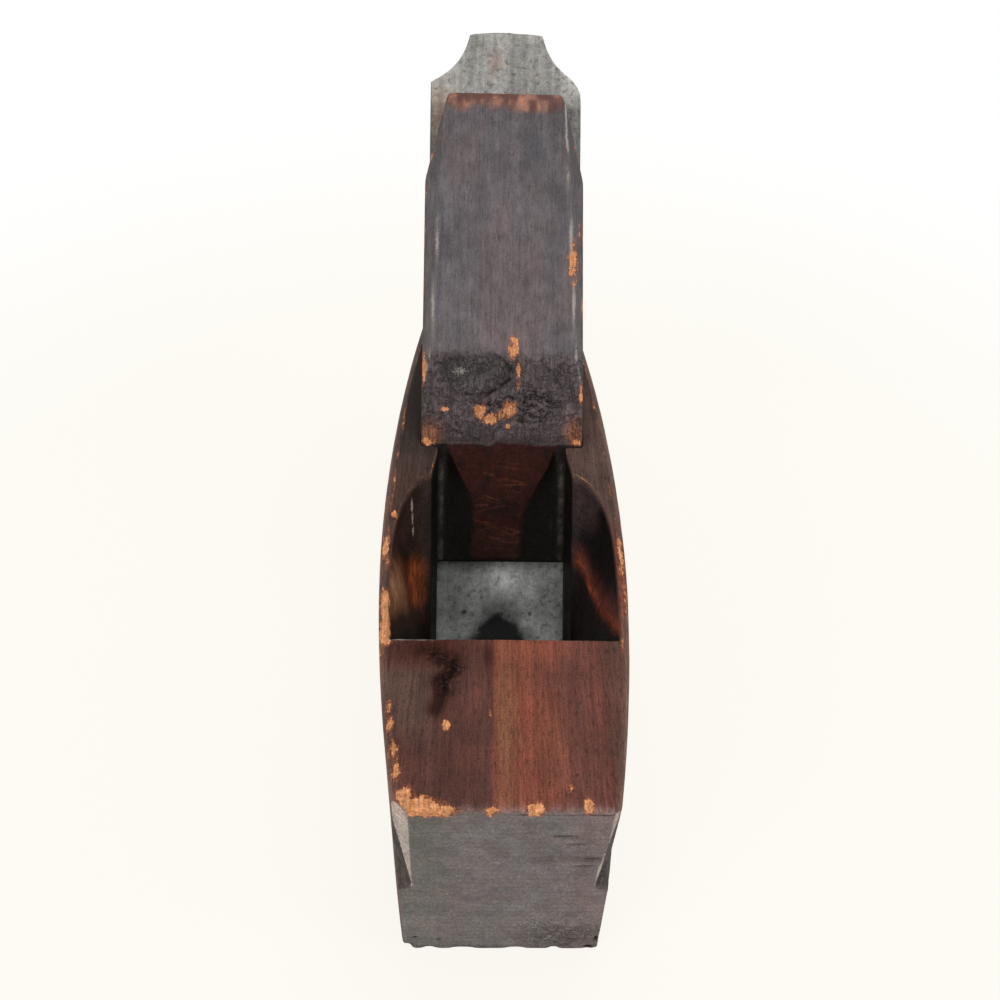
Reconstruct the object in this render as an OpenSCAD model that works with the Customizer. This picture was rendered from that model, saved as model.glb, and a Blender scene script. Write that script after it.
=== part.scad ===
// Wooden smoothing plane with a coffin-shaped stock, a wedge and a double iron.
// The origin is the middle of the sole. The toe points along -Y and +Z is up.
// The bed frame has X across the plane, Y up the bed from the sole and Z off the bed.

/* [Stock] */
// Length of the stock from toe to heel
stock_len = 190; // [160:1:240]
// Height of the stock
stock_h = 60; // [50:1:70]
// Width of the stock at its widest
belly_w = 61.8; // [60:0.1:72]
// Distance from the toe to the widest place
belly_from_toe = 88; // [70:1:110]
// Width across the toe
toe_w = 45.6; // [40:0.1:54]
// Width across the heel
heel_w = 46; // [40:0.1:54]
// Width of the chamfer along the top edges of the sides and heel
top_chamfer = 2; // [1:0.1:2.4]
// Width of the chamfers down the upright corners
corner_chamfer = 3.2; // [1:0.1:5]
// Length of the upright chamfers, from the top
corner_chamfer_len = 31; // [20:1:45]
// Radius of the gouge cut that stops each upright chamfer
corner_stop_r = 7; // [5:0.5:12]

/* [Bed and throat] */
// Slope of the bed from the sole
bed_angle = 45; // [43:0.5:50]
// Distance from the toe to the foot of the bed
bed_from_toe = 73.6; // [68:0.1:85]
// Distance from the toe to the front edge of the throat
throat_from_toe = 44; // [36:0.5:50]
// Gap in the sole between the cutting edge and the wood in front of it
mouth_gap = 2; // [0.5:0.1:4]
// Height of the upright face above the front of the mouth
wear_h = 8; // [5:0.5:11]
// Lean of that face towards the toe
wear_lean = 0.6; // [0:0.1:1.5]
// Height at which the cheeks run out in the throat
cheek_foot_h = 17; // [14:0.5:24]
// Distance from the front of the mouth to the foot of the cheeks
cheek_foot_in = 4.4; // [3:0.1:7]
// Thickness of the cheeks at the top, where their eyes begin
cheek_wall = 2.7; // [2.4:0.1:5]
// Thickness of the cheeks at the front edge of the throat
cheek_front_wall = 2.2; // [2.1:0.1:5]
// Length of the rounded eye at the back of each cheek
eye_len = 27; // [15:1:35]
// Width of each abutment over the wedge
abutment_w = 5.1; // [3:0.1:7]
// Depth of each abutment from its eye to the wedge, at the top
abutment_d = 11; // [8:0.5:16]
// Flare of each abutment's inner face over that depth
abutment_flare = 1.5; // [0.5:0.1:3]
// Overlap of the flare's cut with the cuts at both of its ends
flare_overlap = 0.4; // [0.3:0.1:0.8]
// Distance from the back of the eyes to the front of the throat's straight core, at the top
core_in_front = 3; // [1:0.5:6]

/* [Cutting iron] */
// Width of the cutting iron and the cap iron
iron_w = 44.1; // [38:0.1:44.1]
// Distance that the irons stand off the middle of the bed, towards +X
iron_shift = 0.4; // [0:0.1:0.4]
// Length of the cutting iron
iron_len = 197.4; // [180:0.1:215]
// Thickness of the cutting iron
iron_t = 3.5; // [2.5:0.1:4.5]
// Angle to which the cutting edge is ground
bevel_angle = 27; // [22:1:33]
// Height of the cutting edge over the sole when the plane is put away
edge_lift = 0.2; // [0.1:0.05:0.6]
// Width of the iron's top between its hollow shoulders
iron_top_w = 21.4; // [16:0.1:26]
// Distance from the corners of the top down to the ends of the hollow shoulders
shoulder_drop = 14.4; // [10:0.1:20]
// Depth of the hollow in each shoulder
shoulder_hollow = 2.4; // [1:0.1:3]
// Rise of the curved top edge
iron_crown = 0.6; // [0.2:0.1:2]
// Width of the long slot
slot_w = 10.5; // [9.5:0.1:13]
// Distance from the cutting edge to the lower end of the long slot
slot_from_edge = 58; // [50:1:62]
// Length of the long slot up to the middle of its round hole
slot_len = 67; // [62:1:80]
// Radius of the round hole that lets the screw's head through
slot_hole_r = 9.7; // [9.2:0.1:12]

/* [Cap iron] */
// Length of the cap iron
cap_len = 108; // [95:1:125]
// Thickness of the cap iron
cap_t = 2.8; // [2:0.1:3.2]
// Setback of the cap iron from the cutting edge
cap_setback = 1.3; // [0.5:0.1:3]
// Height of the hollow under the bent lower end
cap_arch = 2.5; // [1.5:0.1:2.8]
// Length of the bent lower end
cap_bend_len = 26; // [20:1:32]
// Thickness of the cap iron at its edge
cap_edge_t = 0.35; // [0.3:0.05:0.8]
// Length over which the bent end is thinned to its edge
cap_thin_len = 7.5; // [4:0.5:12]
// Cut across the two top corners
cap_corner = 4; // [1:0.5:8]
// Distance from the cap iron's edge to the middle of its screw
screw_from_cap_edge = 70; // [66:1:78]
// Radius of the screw's thread
screw_r = 4; // [3:0.1:4.5]
// Radius of the screw's head
screw_head_r = 8.5; // [7:0.1:9]
// Thickness of the screw's head
screw_head_t = 3.2; // [2:0.1:4.5]
// Width of the slot across the screw's head
driver_slot_w = 1.8; // [1:0.1:2.5]
// Depth of the slot across the screw's head
driver_slot_d = 1.6; // [0.8:0.1:1.9]
// Radius of the nut's flange
nut_flange_r = 7.6; // [7:0.1:8.5]
// Thickness of the nut's flange
nut_flange_t = 0.7; // [0.4:0.1:0.8]
// Radius of the nut's spigot through the cap iron
nut_spigot_r = 6; // [5.2:0.1:6.5]

/* [Wedge] */
// Length of the wedge
wedge_len = 132.6; // [118:0.1:145]
// Width of the wedge
wedge_w = 44.8; // [44.8:0.1:48]
// Distance up the bed from the sole to the wedge's lower end
wedge_foot = 38.7; // [36:0.1:46]
// Thickness of the wedge at its lower end
wedge_foot_t = 2.6; // [2.2:0.1:3.5]
// Thickness of the wedge's head
wedge_head_t = 11.2; // [10:0.1:14]
// Taper of the wedge
wedge_angle = 8.5; // [7.5:0.1:10]
// Width of the wedge's head at its top
wedge_top_w = 32.8; // [26:0.1:36]
// Length over which the head narrows
wedge_narrow_len = 25; // [15:1:35]
// Radius of the head's front top edge
wedge_edge_r = 5.5; // [2:0.5:7]
// Radius of the head's two top corners
wedge_corner_r = 3.2; // [1:0.1:5]
// Width of the long corner chamfers at the top of the head
wedge_chamfer = 5.8; // [2:0.1:7]
// Distance from the crease in the front to the ends of those chamfers
wedge_chamfer_below = 12.5; // [0:0.5:18]
// Length of the pared hollows at the wedge's lower end
pare_len = 31.5; // [24:0.5:36]
// Length of the steeper upper end of each hollow
pare_steep_len = 10.5; // [6:0.5:14]
// Width of the margin left outside each hollow
pare_margin = 2.6; // [2:0.1:4]
// Width of the ridge between the hollows at the wedge's end
ridge_foot_w = 5; // [3:0.5:9]
// Thickness of wood left under the hollows
pare_floor_t = 1.7; // [1.6:0.1:2]
// Width of the groove in the wedge's back that clears the nut
nut_groove_w = 17.5; // [17.5:0.5:20]
// Depth of the groove in the wedge's back
nut_groove_d = 1; // [0.9:0.05:1.2]

/* [Fits] */
// Gap between each pair of faces that slide on each other
face_gap = 0.05; // [0.03:0.01:0.1]
// Gap at each side of the wedge in its slot
side_gap = 0.3; // [0.2:0.05:0.5]
// Gap between the wedge and the abutments
wedge_gap = 0.3; // [0.25:0.05:0.4]
// Radial clearance of the screw in its nut
thread_gap = 0.05; // [0.02:0.01:0.1]
// Radial clearance of the nut's spigot in the cap iron
spigot_gap = 0.02; // [0.01:0.01:0.05]
// Gap between the bent cap iron and the wood that it passes
cap_pass_gap = 0.45; // [0.3:0.05:0.8]
// Gap all round the screw's head in its groove
head_gap = 1.2; // [0.8:0.1:1.5]
// Depth left under the screw's head
head_room = 3; // [1:0.1:5]
// Distance from the screw's middle down to the middle of the groove's round end
head_lead = 3.6; // [2:0.1:5]

/* [Hidden] */

// Cutting tools run past the surfaces that they open by this much
past = 1;
// Steps along each half of the stock's sides and round the small rounded outlines
side_steps = 16;
arc_steps = 10;
// Facets of round holes and pieces
round_fn = 96;

toe_y = -stock_len / 2;
heel_y = stock_len / 2;
belly_y = toe_y + belly_from_toe;
bed_y = toe_y + bed_from_toe;
throat_y = toe_y + throat_from_toe;

// Heights off the bed of the faces in the stack of irons and wedge
iron_back = face_gap;
iron_front = iron_back + iron_t;
cap_back = iron_front + face_gap;
cap_front = cap_back + cap_t;
nut_front = cap_front + nut_flange_t;
wedge_back = cap_front + face_gap;
wedge_head_front = wedge_back + wedge_head_t;

// Places up the bed
edge_s = (edge_lift - iron_front * cos(bed_angle)) / sin(bed_angle);
iron_top_s = edge_s + iron_len;
top_corner_s = iron_top_s - iron_crown;
slot_end_s = edge_s + slot_from_edge;
slot_hole_s = slot_end_s + slot_len;
cap_edge_s = edge_s + cap_setback;
cap_top_s = cap_edge_s + cap_len;
screw_s = cap_edge_s + screw_from_cap_edge;
wedge_top_s = wedge_foot + wedge_len;
crease_s = wedge_foot + (wedge_head_t - wedge_foot_t) / tan(wedge_angle);

slot_half = wedge_w / 2 + side_gap;
throat_half = slot_half - abutment_w;
eye_half = throat_half + abutment_flare;
// The eyes run on past the flared faces, so that the two cuts cross
eye_end_x = eye_half - flare_overlap;

// Heights off the bed of the wedge's tapered front and of the abutments that bear on it
function wedge_front(s) = wedge_back + wedge_foot_t + (s - wedge_foot) * tan(wedge_angle);
function abutment_back(s) = wedge_front(s) + wedge_gap / cos(wedge_angle);

// A point of the bed frame as it lies in the plane's own Y and Z
function from_bed(s, off) = [
    bed_y + s * cos(bed_angle) - off * sin(bed_angle),
    s * sin(bed_angle) + off * cos(bed_angle)
];

// Height off the bed of a point given by the plane's own Y and Z
function off_bed(y, z) = z * cos(bed_angle) - (y - bed_y) * sin(bed_angle);

// Where the abutments meet the top of the stock
abutment_top_s = (stock_h - abutment_back(0) * cos(bed_angle))
    / (sin(bed_angle) + tan(wedge_angle) * cos(bed_angle));
abutment_y = from_bed(abutment_top_s, abutment_back(abutment_top_s))[0];
eye_y = abutment_y - abutment_d;

// The front of the mouth and of the throat, from the sole up
edge_y = from_bed(edge_s, iron_front)[0];
mouth_y = edge_y - mouth_gap;
wear_top = [mouth_y - wear_lean, wear_h];
cheek_foot = [mouth_y - cheek_foot_in, cheek_foot_h];

// The room that the bent cap iron needs on its way out
cap_room = cap_back + cap_t + cap_arch + cap_pass_gap;
abutment_foot_s = wedge_foot + (cap_room - abutment_back(wedge_foot)) / tan(wedge_angle);
// The height on the upright face that is as far off the bed as that room
wear_room_h = (cap_room / cos(bed_angle) + (mouth_y - bed_y) * tan(bed_angle))
    / (1 + wear_lean / wear_h * tan(bed_angle));

// The side of the stock is an arc from the belly to each end
function side_radius(end_w, reach) =
    (pow((belly_w - end_w) / 2, 2) + reach * reach) / (belly_w - end_w);
toe_side_r = side_radius(toe_w, belly_from_toe);
heel_side_r = side_radius(heel_w, stock_len - belly_from_toe);
function arc_x(radius, y) = belly_w / 2 - radius + sqrt(radius * radius - pow(y - belly_y, 2));
function side_x(y) = arc_x(y < belly_y ? toe_side_r : heel_side_r, y);

// Carries a shape drawn in Y and Z across the plane
module across(width) {
    rotate([90, 0, 90]) linear_extrude(width, center = true) children();
}

// Lays its children on the bed, and stands them off its middle by a shift
module on_bed(shift = 0) {
    translate([shift, bed_y, 0]) rotate([bed_angle, 0, 0]) children();
}

// The smallest solid round a list of points
module shell(points) {
    hull() polyhedron(points = points, faces = [[for (k = [0 : len(points) - 1]) k]]);
}

// One side of the stock seen from above, drawn in by an inset at the side and the heel
function stock_side(inset) = [
    for (k = [0 : side_steps])
        let (y = toe_y + belly_from_toe * k / side_steps)
        [side_x(y) - inset, y],
    for (k = [1 : side_steps])
        let (y = belly_y + (heel_y - inset - belly_y) * k / side_steps)
        [side_x(y) - inset, y]
];

function mirrored(points) = [for (k = [len(points) - 1 : -1 : 0]) [-points[k][0], points[k][1]]];

// The block with its curved sides and the chamfer round its top, before it is cut
module stock_blank() {
    hull() {
        linear_extrude(stock_h - top_chamfer)
            polygon(concat(stock_side(0), mirrored(stock_side(0))));
        linear_extrude(stock_h)
            polygon(concat(stock_side(top_chamfer), mirrored(stock_side(top_chamfer))));
    }
}

// The chamfer down one upright corner, with the gouge cut that stops it
module corner_cut(end_w, end_y, side) {
    depth = corner_chamfer / sqrt(2);
    stop_rise = sqrt(pow(corner_stop_r, 2) - pow(corner_stop_r - depth, 2));
    stop_z = stock_h - corner_chamfer_len + stop_rise;
    reach = 4 * corner_chamfer;
    translate([side * end_w / 2, end_y, stop_z])
    rotate([0, 0, atan2(sign(end_y), side)])
    translate([-depth, 0, 0]) {
        translate([0, -reach / 2, 0]) cube([reach, reach, stock_h]);
        translate([corner_stop_r, 0, 0]) rotate([90, 0, 0])
            cylinder(r = corner_stop_r, h = reach, center = true, $fn = round_fn);
    }
}

// The outline of the throat in the top of the stock
cheek_outline = [
    for (k = [0 : arc_steps])
        let (
            t = k / arc_steps,
            y = throat_y + (eye_y - eye_len - throat_y) * t
        )
        [side_x(y) - cheek_front_wall - (cheek_wall - cheek_front_wall) * t, y],
    for (k = [1 : arc_steps])
        let (
            turn = 90 * k / arc_steps,
            start_x = side_x(eye_y - eye_len) - cheek_wall
        )
        [eye_end_x + (start_x - eye_end_x) * cos(turn), eye_y - eye_len * (1 - sin(turn))]
];

// The cheeks taper from that outline to their foot over the mouth
module cheeks_cut() {
    outline = concat(cheek_outline, mirrored(cheek_outline));
    shell(concat(
        [for (point = outline) [point[0], point[1], stock_h + past]],
        [for (point = outline) [point[0], point[1], stock_h]],
        [for (side = [-1, 1]) [side * throat_half, cheek_foot[0], cheek_foot[1]]]
    ));
}

// The straight core of the throat between the abutments, down through the mouth
module core_cut() {
    across(2 * throat_half) polygon([
        from_bed(-past / sin(bed_angle), 0),
        [mouth_y, -past],
        [mouth_y, 0],
        wear_top,
        cheek_foot,
        [eye_y - core_in_front, stock_h + past],
        from_bed((stock_h + past) / sin(bed_angle), 0)
    ]);
}

// The inner faces of the abutments open towards the eyes of the cheeks
module flare_cut() {
    bearing = abutment_back(abutment_top_s) - flare_overlap;
    eye_off = off_bed(eye_y, stock_h);
    intersection() {
        on_bed() rotate([-90, 0, 0]) linear_extrude(2 * stock_h) polygon([
            [-throat_half, -bearing],
            [throat_half, -bearing],
            [eye_half, -eye_off],
            [-eye_half, -eye_off]
        ]);
        across(2 * slot_half) polygon([
            cheek_foot,
            from_bed(0, 0),
            from_bed((stock_h + past) / sin(bed_angle), 0),
            [throat_y, stock_h + past]
        ]);
    }
}

// The slot that the irons and the wedge slide in, from the mouth to the top
module iron_slot_cut() {
    across(2 * slot_half) polygon([
        from_bed(-past / sin(bed_angle), 0),
        [mouth_y, -past],
        [mouth_y, 0],
        [mouth_y - wear_lean * wear_room_h / wear_h, wear_room_h],
        from_bed(abutment_foot_s, cap_room),
        from_bed(2 * stock_h, abutment_back(2 * stock_h)),
        from_bed(2 * stock_h, 0)
    ]);
}

// The groove in the bed that clears the head of the cap iron's screw
module head_groove_cut() {
    groove_r = screw_head_r + head_gap;
    depth = screw_head_t + head_room;
    on_bed() translate([0, screw_s - head_lead, -depth]) {
        cylinder(r = groove_r, h = depth + past, $fn = round_fn);
        translate([-groove_r, 0, 0]) cube([2 * groove_r, 2 * stock_h, depth + past]);
    }
}

module stock() color("#5a2a20") {
    difference() {
        stock_blank();
        for (side = [-1, 1]) {
            corner_cut(toe_w, toe_y, side);
            corner_cut(heel_w, heel_y, side);
        }
        cheeks_cut();
        core_cut();
        flare_cut();
        iron_slot_cut();
        head_groove_cut();
    }
}

// The wedge from its side, in the bed frame
wedge_profile = concat(
    [
        [wedge_foot, wedge_back],
        [wedge_top_s, wedge_back]
    ],
    [
        for (k = [0 : arc_steps])
            let (turn = 90 * k / arc_steps)
            [
                wedge_top_s - wedge_edge_r + wedge_edge_r * cos(turn),
                wedge_head_front - wedge_edge_r + wedge_edge_r * sin(turn)
            ]
    ],
    [
        [crease_s, wedge_head_front],
        [wedge_foot, wedge_back + wedge_foot_t]
    ]
);

// One side of the wedge from its front, in the bed frame
wedge_side = [
    [wedge_w / 2, wedge_foot - past],
    [wedge_w / 2, wedge_top_s - wedge_narrow_len],
    for (k = [0 : arc_steps])
        let (turn = 90 * k / arc_steps)
        [
            wedge_top_w / 2 - wedge_corner_r + wedge_corner_r * cos(turn),
            wedge_top_s - wedge_corner_r + wedge_corner_r * sin(turn)
        ]
];

// The hollow pared beside the ridge at the wedge's lower end
module pared_hollow(side) {
    outer = throat_half - pare_margin;
    inner = ridge_foot_w / 2;
    low_s = wedge_foot - past;
    top_s = wedge_foot + pare_len;
    run_in = (outer - inner) / pare_len * past;
    shell([
        [side * outer, top_s, wedge_front(top_s)],
        [side * (inner - run_in), low_s, wedge_front(low_s)],
        [side * outer, low_s, wedge_back + pare_floor_t],
        [side * outer, top_s - pare_steep_len, wedge_front(top_s) - wedge_foot_t],
        [side * outer, top_s, wedge_head_front],
        [side * (inner - run_in), low_s, wedge_head_front],
        [side * outer, low_s, wedge_head_front]
    ]);
}

// The long chamfer down one front corner of the wedge, which narrows to nothing
module wedge_corner_cut(side) {
    half = wedge_w / 2;
    high_s = wedge_top_s + past;
    low_s = crease_s - wedge_chamfer_below;
    shell([
        [side * half, low_s, wedge_front(low_s) + wedge_gap],
        [side * (half - wedge_chamfer), high_s, wedge_head_front],
        [side * half, high_s, wedge_head_front - wedge_chamfer],
        [side * 2 * half, high_s, 2 * wedge_head_front],
        [side * 2 * half, low_s, 2 * wedge_head_front]
    ]);
}

module wedge() color("#3d2b2e") on_bed() {
    difference() {
        intersection() {
            across(wedge_w) polygon(wedge_profile);
            linear_extrude(2 * wedge_head_front)
                polygon(concat(wedge_side, mirrored(wedge_side)));
        }
        translate([-nut_groove_w / 2, wedge_foot - past, wedge_back - past])
            cube([nut_groove_w, cap_top_s - wedge_foot + past, nut_groove_d + past]);
        for (side = [-1, 1]) {
            pared_hollow(side);
            wedge_corner_cut(side);
        }
    }
}

// One side of the cutting iron from its front, with its hollow shoulder and curved top
iron_side = [
    [iron_w / 2, edge_s - past],
    for (k = [0 : arc_steps])
        let (
            t = k / arc_steps,
            low = [iron_w / 2, top_corner_s - shoulder_drop],
            run = [(iron_top_w - iron_w) / 2, shoulder_drop],
            hollow = 4 * shoulder_hollow * t * (1 - t) / norm(run)
        )
        low + run * t + hollow * [-run[1], run[0]],
    for (k = [arc_steps - 1 : -1 : 1])
        [
            iron_top_w / 2 * k / arc_steps,
            iron_top_s - iron_crown * pow(k / arc_steps, 2)
        ]
];

module cutting_iron() color("#77777a") on_bed(iron_shift) {
    difference() {
        intersection() {
            across(iron_w) polygon([
                [edge_s, iron_front],
                [edge_s + iron_t / tan(bevel_angle), iron_back],
                [iron_top_s, iron_back],
                [iron_top_s, iron_front]
            ]);
            linear_extrude(2 * iron_front) polygon(concat(iron_side, mirrored(iron_side)));
        }
        translate([0, slot_end_s + slot_w / 2, 0]) cylinder(d = slot_w, h = 2 * iron_front, $fn = round_fn);
        translate([-slot_w / 2, slot_end_s + slot_w / 2, 0])
            cube([slot_w, slot_len - slot_w / 2, 2 * iron_front]);
        translate([0, slot_hole_s, 0]) cylinder(r = slot_hole_r, h = 2 * iron_front, $fn = round_fn);
    }
}

// The cap iron from its side: flat above, bent into an arch down to its edge
function arch_rise(t) = cap_arch * sin(180 * t);
function cap_thickness(t) =
    min(cap_t, cap_edge_t + (cap_t - cap_edge_t) * t * cap_bend_len / cap_thin_len);
cap_profile = concat(
    [
        for (k = [0 : 2 * arc_steps])
            let (t = k / (2 * arc_steps))
            [cap_edge_s + cap_bend_len * t, cap_back + arch_rise(t)]
    ],
    [[cap_top_s, cap_back], [cap_top_s, cap_front]],
    [
        for (k = [2 * arc_steps : -1 : 0])
            let (t = k / (2 * arc_steps))
            [cap_edge_s + cap_bend_len * t, cap_back + arch_rise(t) + cap_thickness(t)]
    ]
);

module cap_iron() color("#84878a") on_bed(iron_shift) {
    difference() {
        across(iron_w) polygon(cap_profile);
        for (side = [-1, 1])
            translate([side * iron_w / 2, cap_top_s, cap_back + cap_t / 2])
                rotate([0, 0, 45])
                cube([sqrt(2) * cap_corner, sqrt(2) * cap_corner, 2 * cap_t], center = true);
        translate([0, screw_s, cap_back - past])
            cylinder(r = nut_spigot_r + spigot_gap, h = cap_t + 2 * past, $fn = round_fn);
    }
}

module cap_nut() color("#b08d4a") on_bed(iron_shift) translate([0, screw_s, 0]) {
    difference() {
        union() {
            translate([0, 0, cap_back]) cylinder(r = nut_spigot_r, h = cap_t, $fn = round_fn);
            translate([0, 0, cap_front]) cylinder(r = nut_flange_r, h = nut_flange_t, $fn = round_fn);
        }
        cylinder(r = screw_r + thread_gap, h = 2 * nut_front, $fn = round_fn);
    }
}

module cap_screw() color("#5f6265") on_bed(iron_shift) translate([0, screw_s, 0]) {
    difference() {
        union() {
            translate([0, 0, -screw_head_t]) cylinder(r = screw_head_r, h = screw_head_t, $fn = round_fn);
            cylinder(r = screw_r, h = nut_front, $fn = round_fn);
        }
        translate([0, 0, driver_slot_d / 2 - screw_head_t - past / 2])
            cube([driver_slot_w, 3 * screw_head_r, driver_slot_d + past], center = true);
    }
}

stock();
wedge();
cutting_iron();
cap_iron();
cap_nut();
cap_screw();
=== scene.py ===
import bpy
import numpy as np
from mathutils import Matrix, Vector


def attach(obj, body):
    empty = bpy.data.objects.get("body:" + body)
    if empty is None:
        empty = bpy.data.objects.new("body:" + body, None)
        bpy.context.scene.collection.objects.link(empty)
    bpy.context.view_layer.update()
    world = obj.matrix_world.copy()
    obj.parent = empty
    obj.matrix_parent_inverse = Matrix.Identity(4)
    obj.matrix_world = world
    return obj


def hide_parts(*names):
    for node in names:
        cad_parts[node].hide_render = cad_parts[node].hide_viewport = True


bl_info = {
    "name": "Wooden smoothing plane",
    "version": (1, 0, 0),
    "blender": (4, 5, 0),
    "location": "3D View > Sidebar > Plane",
    "description": "Dresses the packed model of a coffin-shaped wooden smoothing plane",
    "category": "Object",
}

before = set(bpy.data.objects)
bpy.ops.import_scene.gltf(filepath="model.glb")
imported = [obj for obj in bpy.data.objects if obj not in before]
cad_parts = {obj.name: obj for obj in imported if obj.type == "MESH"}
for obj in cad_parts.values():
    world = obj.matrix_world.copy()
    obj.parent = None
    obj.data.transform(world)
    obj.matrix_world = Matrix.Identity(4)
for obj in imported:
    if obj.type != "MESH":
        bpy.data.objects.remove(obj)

# Sizes are in millimetres, as the plane's own drawing has them, and meshes are scaled to metres
MM = 0.001

# The stock
TOE_Y = -95.0
HEEL_Y = 95.0
TOP_Z = 60.0
BELLY_Y = -7.0
BELLY_HALF = 30.9
TOE_HALF = 22.8
HEEL_HALF = 23.0
CHAMFER = 2.0
CORNER_DEPTH = 3.2 / np.sqrt(2.0)
STOP_R = 7.0
STOP_Z = 29.0 + np.sqrt(STOP_R ** 2 - (STOP_R - CORNER_DEPTH) ** 2)

# The throat, the bed and the mouth
BED_Y = -21.4
THROAT_Y = -51.0
SLOT_HALF = 22.7
THROAT_HALF = 17.6
WALL_FRONT = 2.2
WALL_EYE = 2.7
EYE_LEN = 27.0
FLARE = 1.5
FLARE_OVERLAP = 0.4
WEAR_H = 8.0
FOOT_H = 17.0
GROOVE_R = 9.7
GROOVE_DEPTH = 6.2
GROOVE_END_S = 64.4
S45 = np.sqrt(0.5)

# Heights off the bed of the stack of irons and wedge
IRON_BACK = 0.05
IRON_FRONT = 3.55
CAP_BACK = 3.6
CAP_T = 2.8
CAP_FRONT = 6.4
WEDGE_BACK = 6.45
HEAD_FRONT = 17.65
CAP_ROOM = 9.35
IRON_SHIFT = 0.4

# Places up the bed
EDGE_S = (0.2 - IRON_FRONT * S45) / S45
IRON_TOP_S = EDGE_S + 197.4
SLOT_END_S = EDGE_S + 58.0
SLOT_HOLE_S = SLOT_END_S + 67.0
CAP_EDGE_S = EDGE_S + 1.3
CAP_TOP_S = CAP_EDGE_S + 108.0
SCREW_S = CAP_EDGE_S + 70.0
WEDGE_FOOT_S = 38.7
WEDGE_TOP_S = WEDGE_FOOT_S + 132.6
TAPER = np.tan(np.radians(8.5))
FOOT_T = 2.6
CREASE_S = WEDGE_FOOT_S + (11.2 - FOOT_T) / TAPER

MOUTH_Y = BED_Y + (EDGE_S - IRON_FRONT) * S45 - 2.0
WEAR_TOP_Y = MOUTH_Y - 0.6
FOOT_Y = MOUTH_Y - 4.4
WEAR_ROOM_H = (CAP_ROOM / S45 + MOUTH_Y - BED_Y) / (1.0 + 0.6 / WEAR_H)


def wedge_front(s):
    """Height off the bed of the wedge's tapered front at a distance s up the bed."""
    return WEDGE_BACK + FOOT_T + (s - WEDGE_FOOT_S) * TAPER


def abutment_back(s):
    """Height off the bed of the abutments, which stand 0.3 mm clear of the wedge."""
    return wedge_front(s) + 0.3 / np.cos(np.radians(8.5))


ABUTMENT_TOP_S = (TOP_Z - abutment_back(0.0) * S45) / (S45 + TAPER * S45)
ABUTMENT_Y = BED_Y + (ABUTMENT_TOP_S - abutment_back(ABUTMENT_TOP_S)) * S45
EYE_Y = ABUTMENT_Y - 11.0
ABUTMENT_FOOT_S = WEDGE_FOOT_S + (CAP_ROOM - abutment_back(WEDGE_FOOT_S)) / TAPER
ABUTMENT_FOOT_Y = BED_Y + (ABUTMENT_FOOT_S - CAP_ROOM) * S45
ABUTMENT_FOOT_Z = (ABUTMENT_FOOT_S + CAP_ROOM) * S45


def bed_to_world(points):
    """Turns points given as x, distance up the bed and height off the bed into the plane's frame."""
    x, s, off = points[..., 0], points[..., 1], points[..., 2]
    return np.stack([x, BED_Y + (s - off) * S45, (s + off) * S45], axis=-1)


# Noise


def lattice(ix, iy, iz, seed):
    """A repeatable number from 0 to 1 for each whole-numbered point of space."""
    h = (ix * 374761393 + iy * 668265263 + iz * 1274126177 + seed * 974634777) & 0xFFFFFFFF
    h = ((h ^ (h >> 13)) * 1103515245) & 0xFFFFFFFF
    h = ((h ^ (h >> 16)) * 2654435761) & 0xFFFFFFFF
    return ((h ^ (h >> 15)) & 0xFFFF) / 65535.0


def noise(points, size, seed=0):
    """Smooth noise from -1 to 1: lattice numbers blended by a cubic between points a size apart."""
    q = points / np.asarray(size, float)
    base = np.floor(q).astype(np.int64)
    t = q - base
    t = t * t * (3.0 - 2.0 * t)
    total = 0.0
    for corner in range(8):
        dx, dy, dz = corner & 1, (corner >> 1) & 1, corner >> 2
        weight = np.abs(1 - dx - t[..., 0]) * np.abs(1 - dy - t[..., 1]) * np.abs(1 - dz - t[..., 2])
        total = total + weight * lattice(base[..., 0] + dx, base[..., 1] + dy, base[..., 2] + dz, seed)
    return 2.0 * total - 1.0


def layered_noise(points, size, seed=0, layers=3):
    """Noise summed over layers, each half the size and half the strength of the one before."""
    size = np.asarray(size, float)
    parts = [noise(points, size / 2 ** k, seed + 7 * k) / 2 ** k for k in range(layers)]
    return sum(parts) / sum(0.5 ** k for k in range(layers))


def step(low, high, value):
    """A smooth rise from 0 at low to 1 at high."""
    t = np.clip((value - low) / (high - low), 0.0, 1.0)
    return t * t * (3.0 - 2.0 * t)


def spot(points, centre, radii):
    """A soft blob: 1 at its centre, about a third at its radii and nothing beyond them."""
    d = (points - np.array(centre, float)) / np.array(radii, float)
    return np.exp(-np.sum(d * d, axis=-1))


# Meshes


def spread(start, stop, count, gather_start=0.0, gather_stop=0.0):
    """Numbers from start to stop in count steps, closer together at the ends that are gathered."""
    t = np.linspace(0.0, 1.0, count + 1)
    slow = t ** 2 * (1 - gather_stop) + (1 - (1 - t) ** 2) * gather_stop
    gather = max(gather_start, gather_stop)
    if gather_start and gather_stop:
        slow = 0.5 - 0.5 * np.cos(np.pi * t)
    return start + (stop - start) * (t * (1 - gather) + slow * gather)


def ring_quads(rows, columns):
    """Quads of a grid that closes on itself both ways."""
    index = np.arange(rows * columns).reshape(rows, columns)
    below, beside = np.roll(index, -1, 0), np.roll(index, -1, 1)
    return np.stack([index, beside, np.roll(below, -1, 1), below], -1).reshape(-1, 4)


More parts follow.
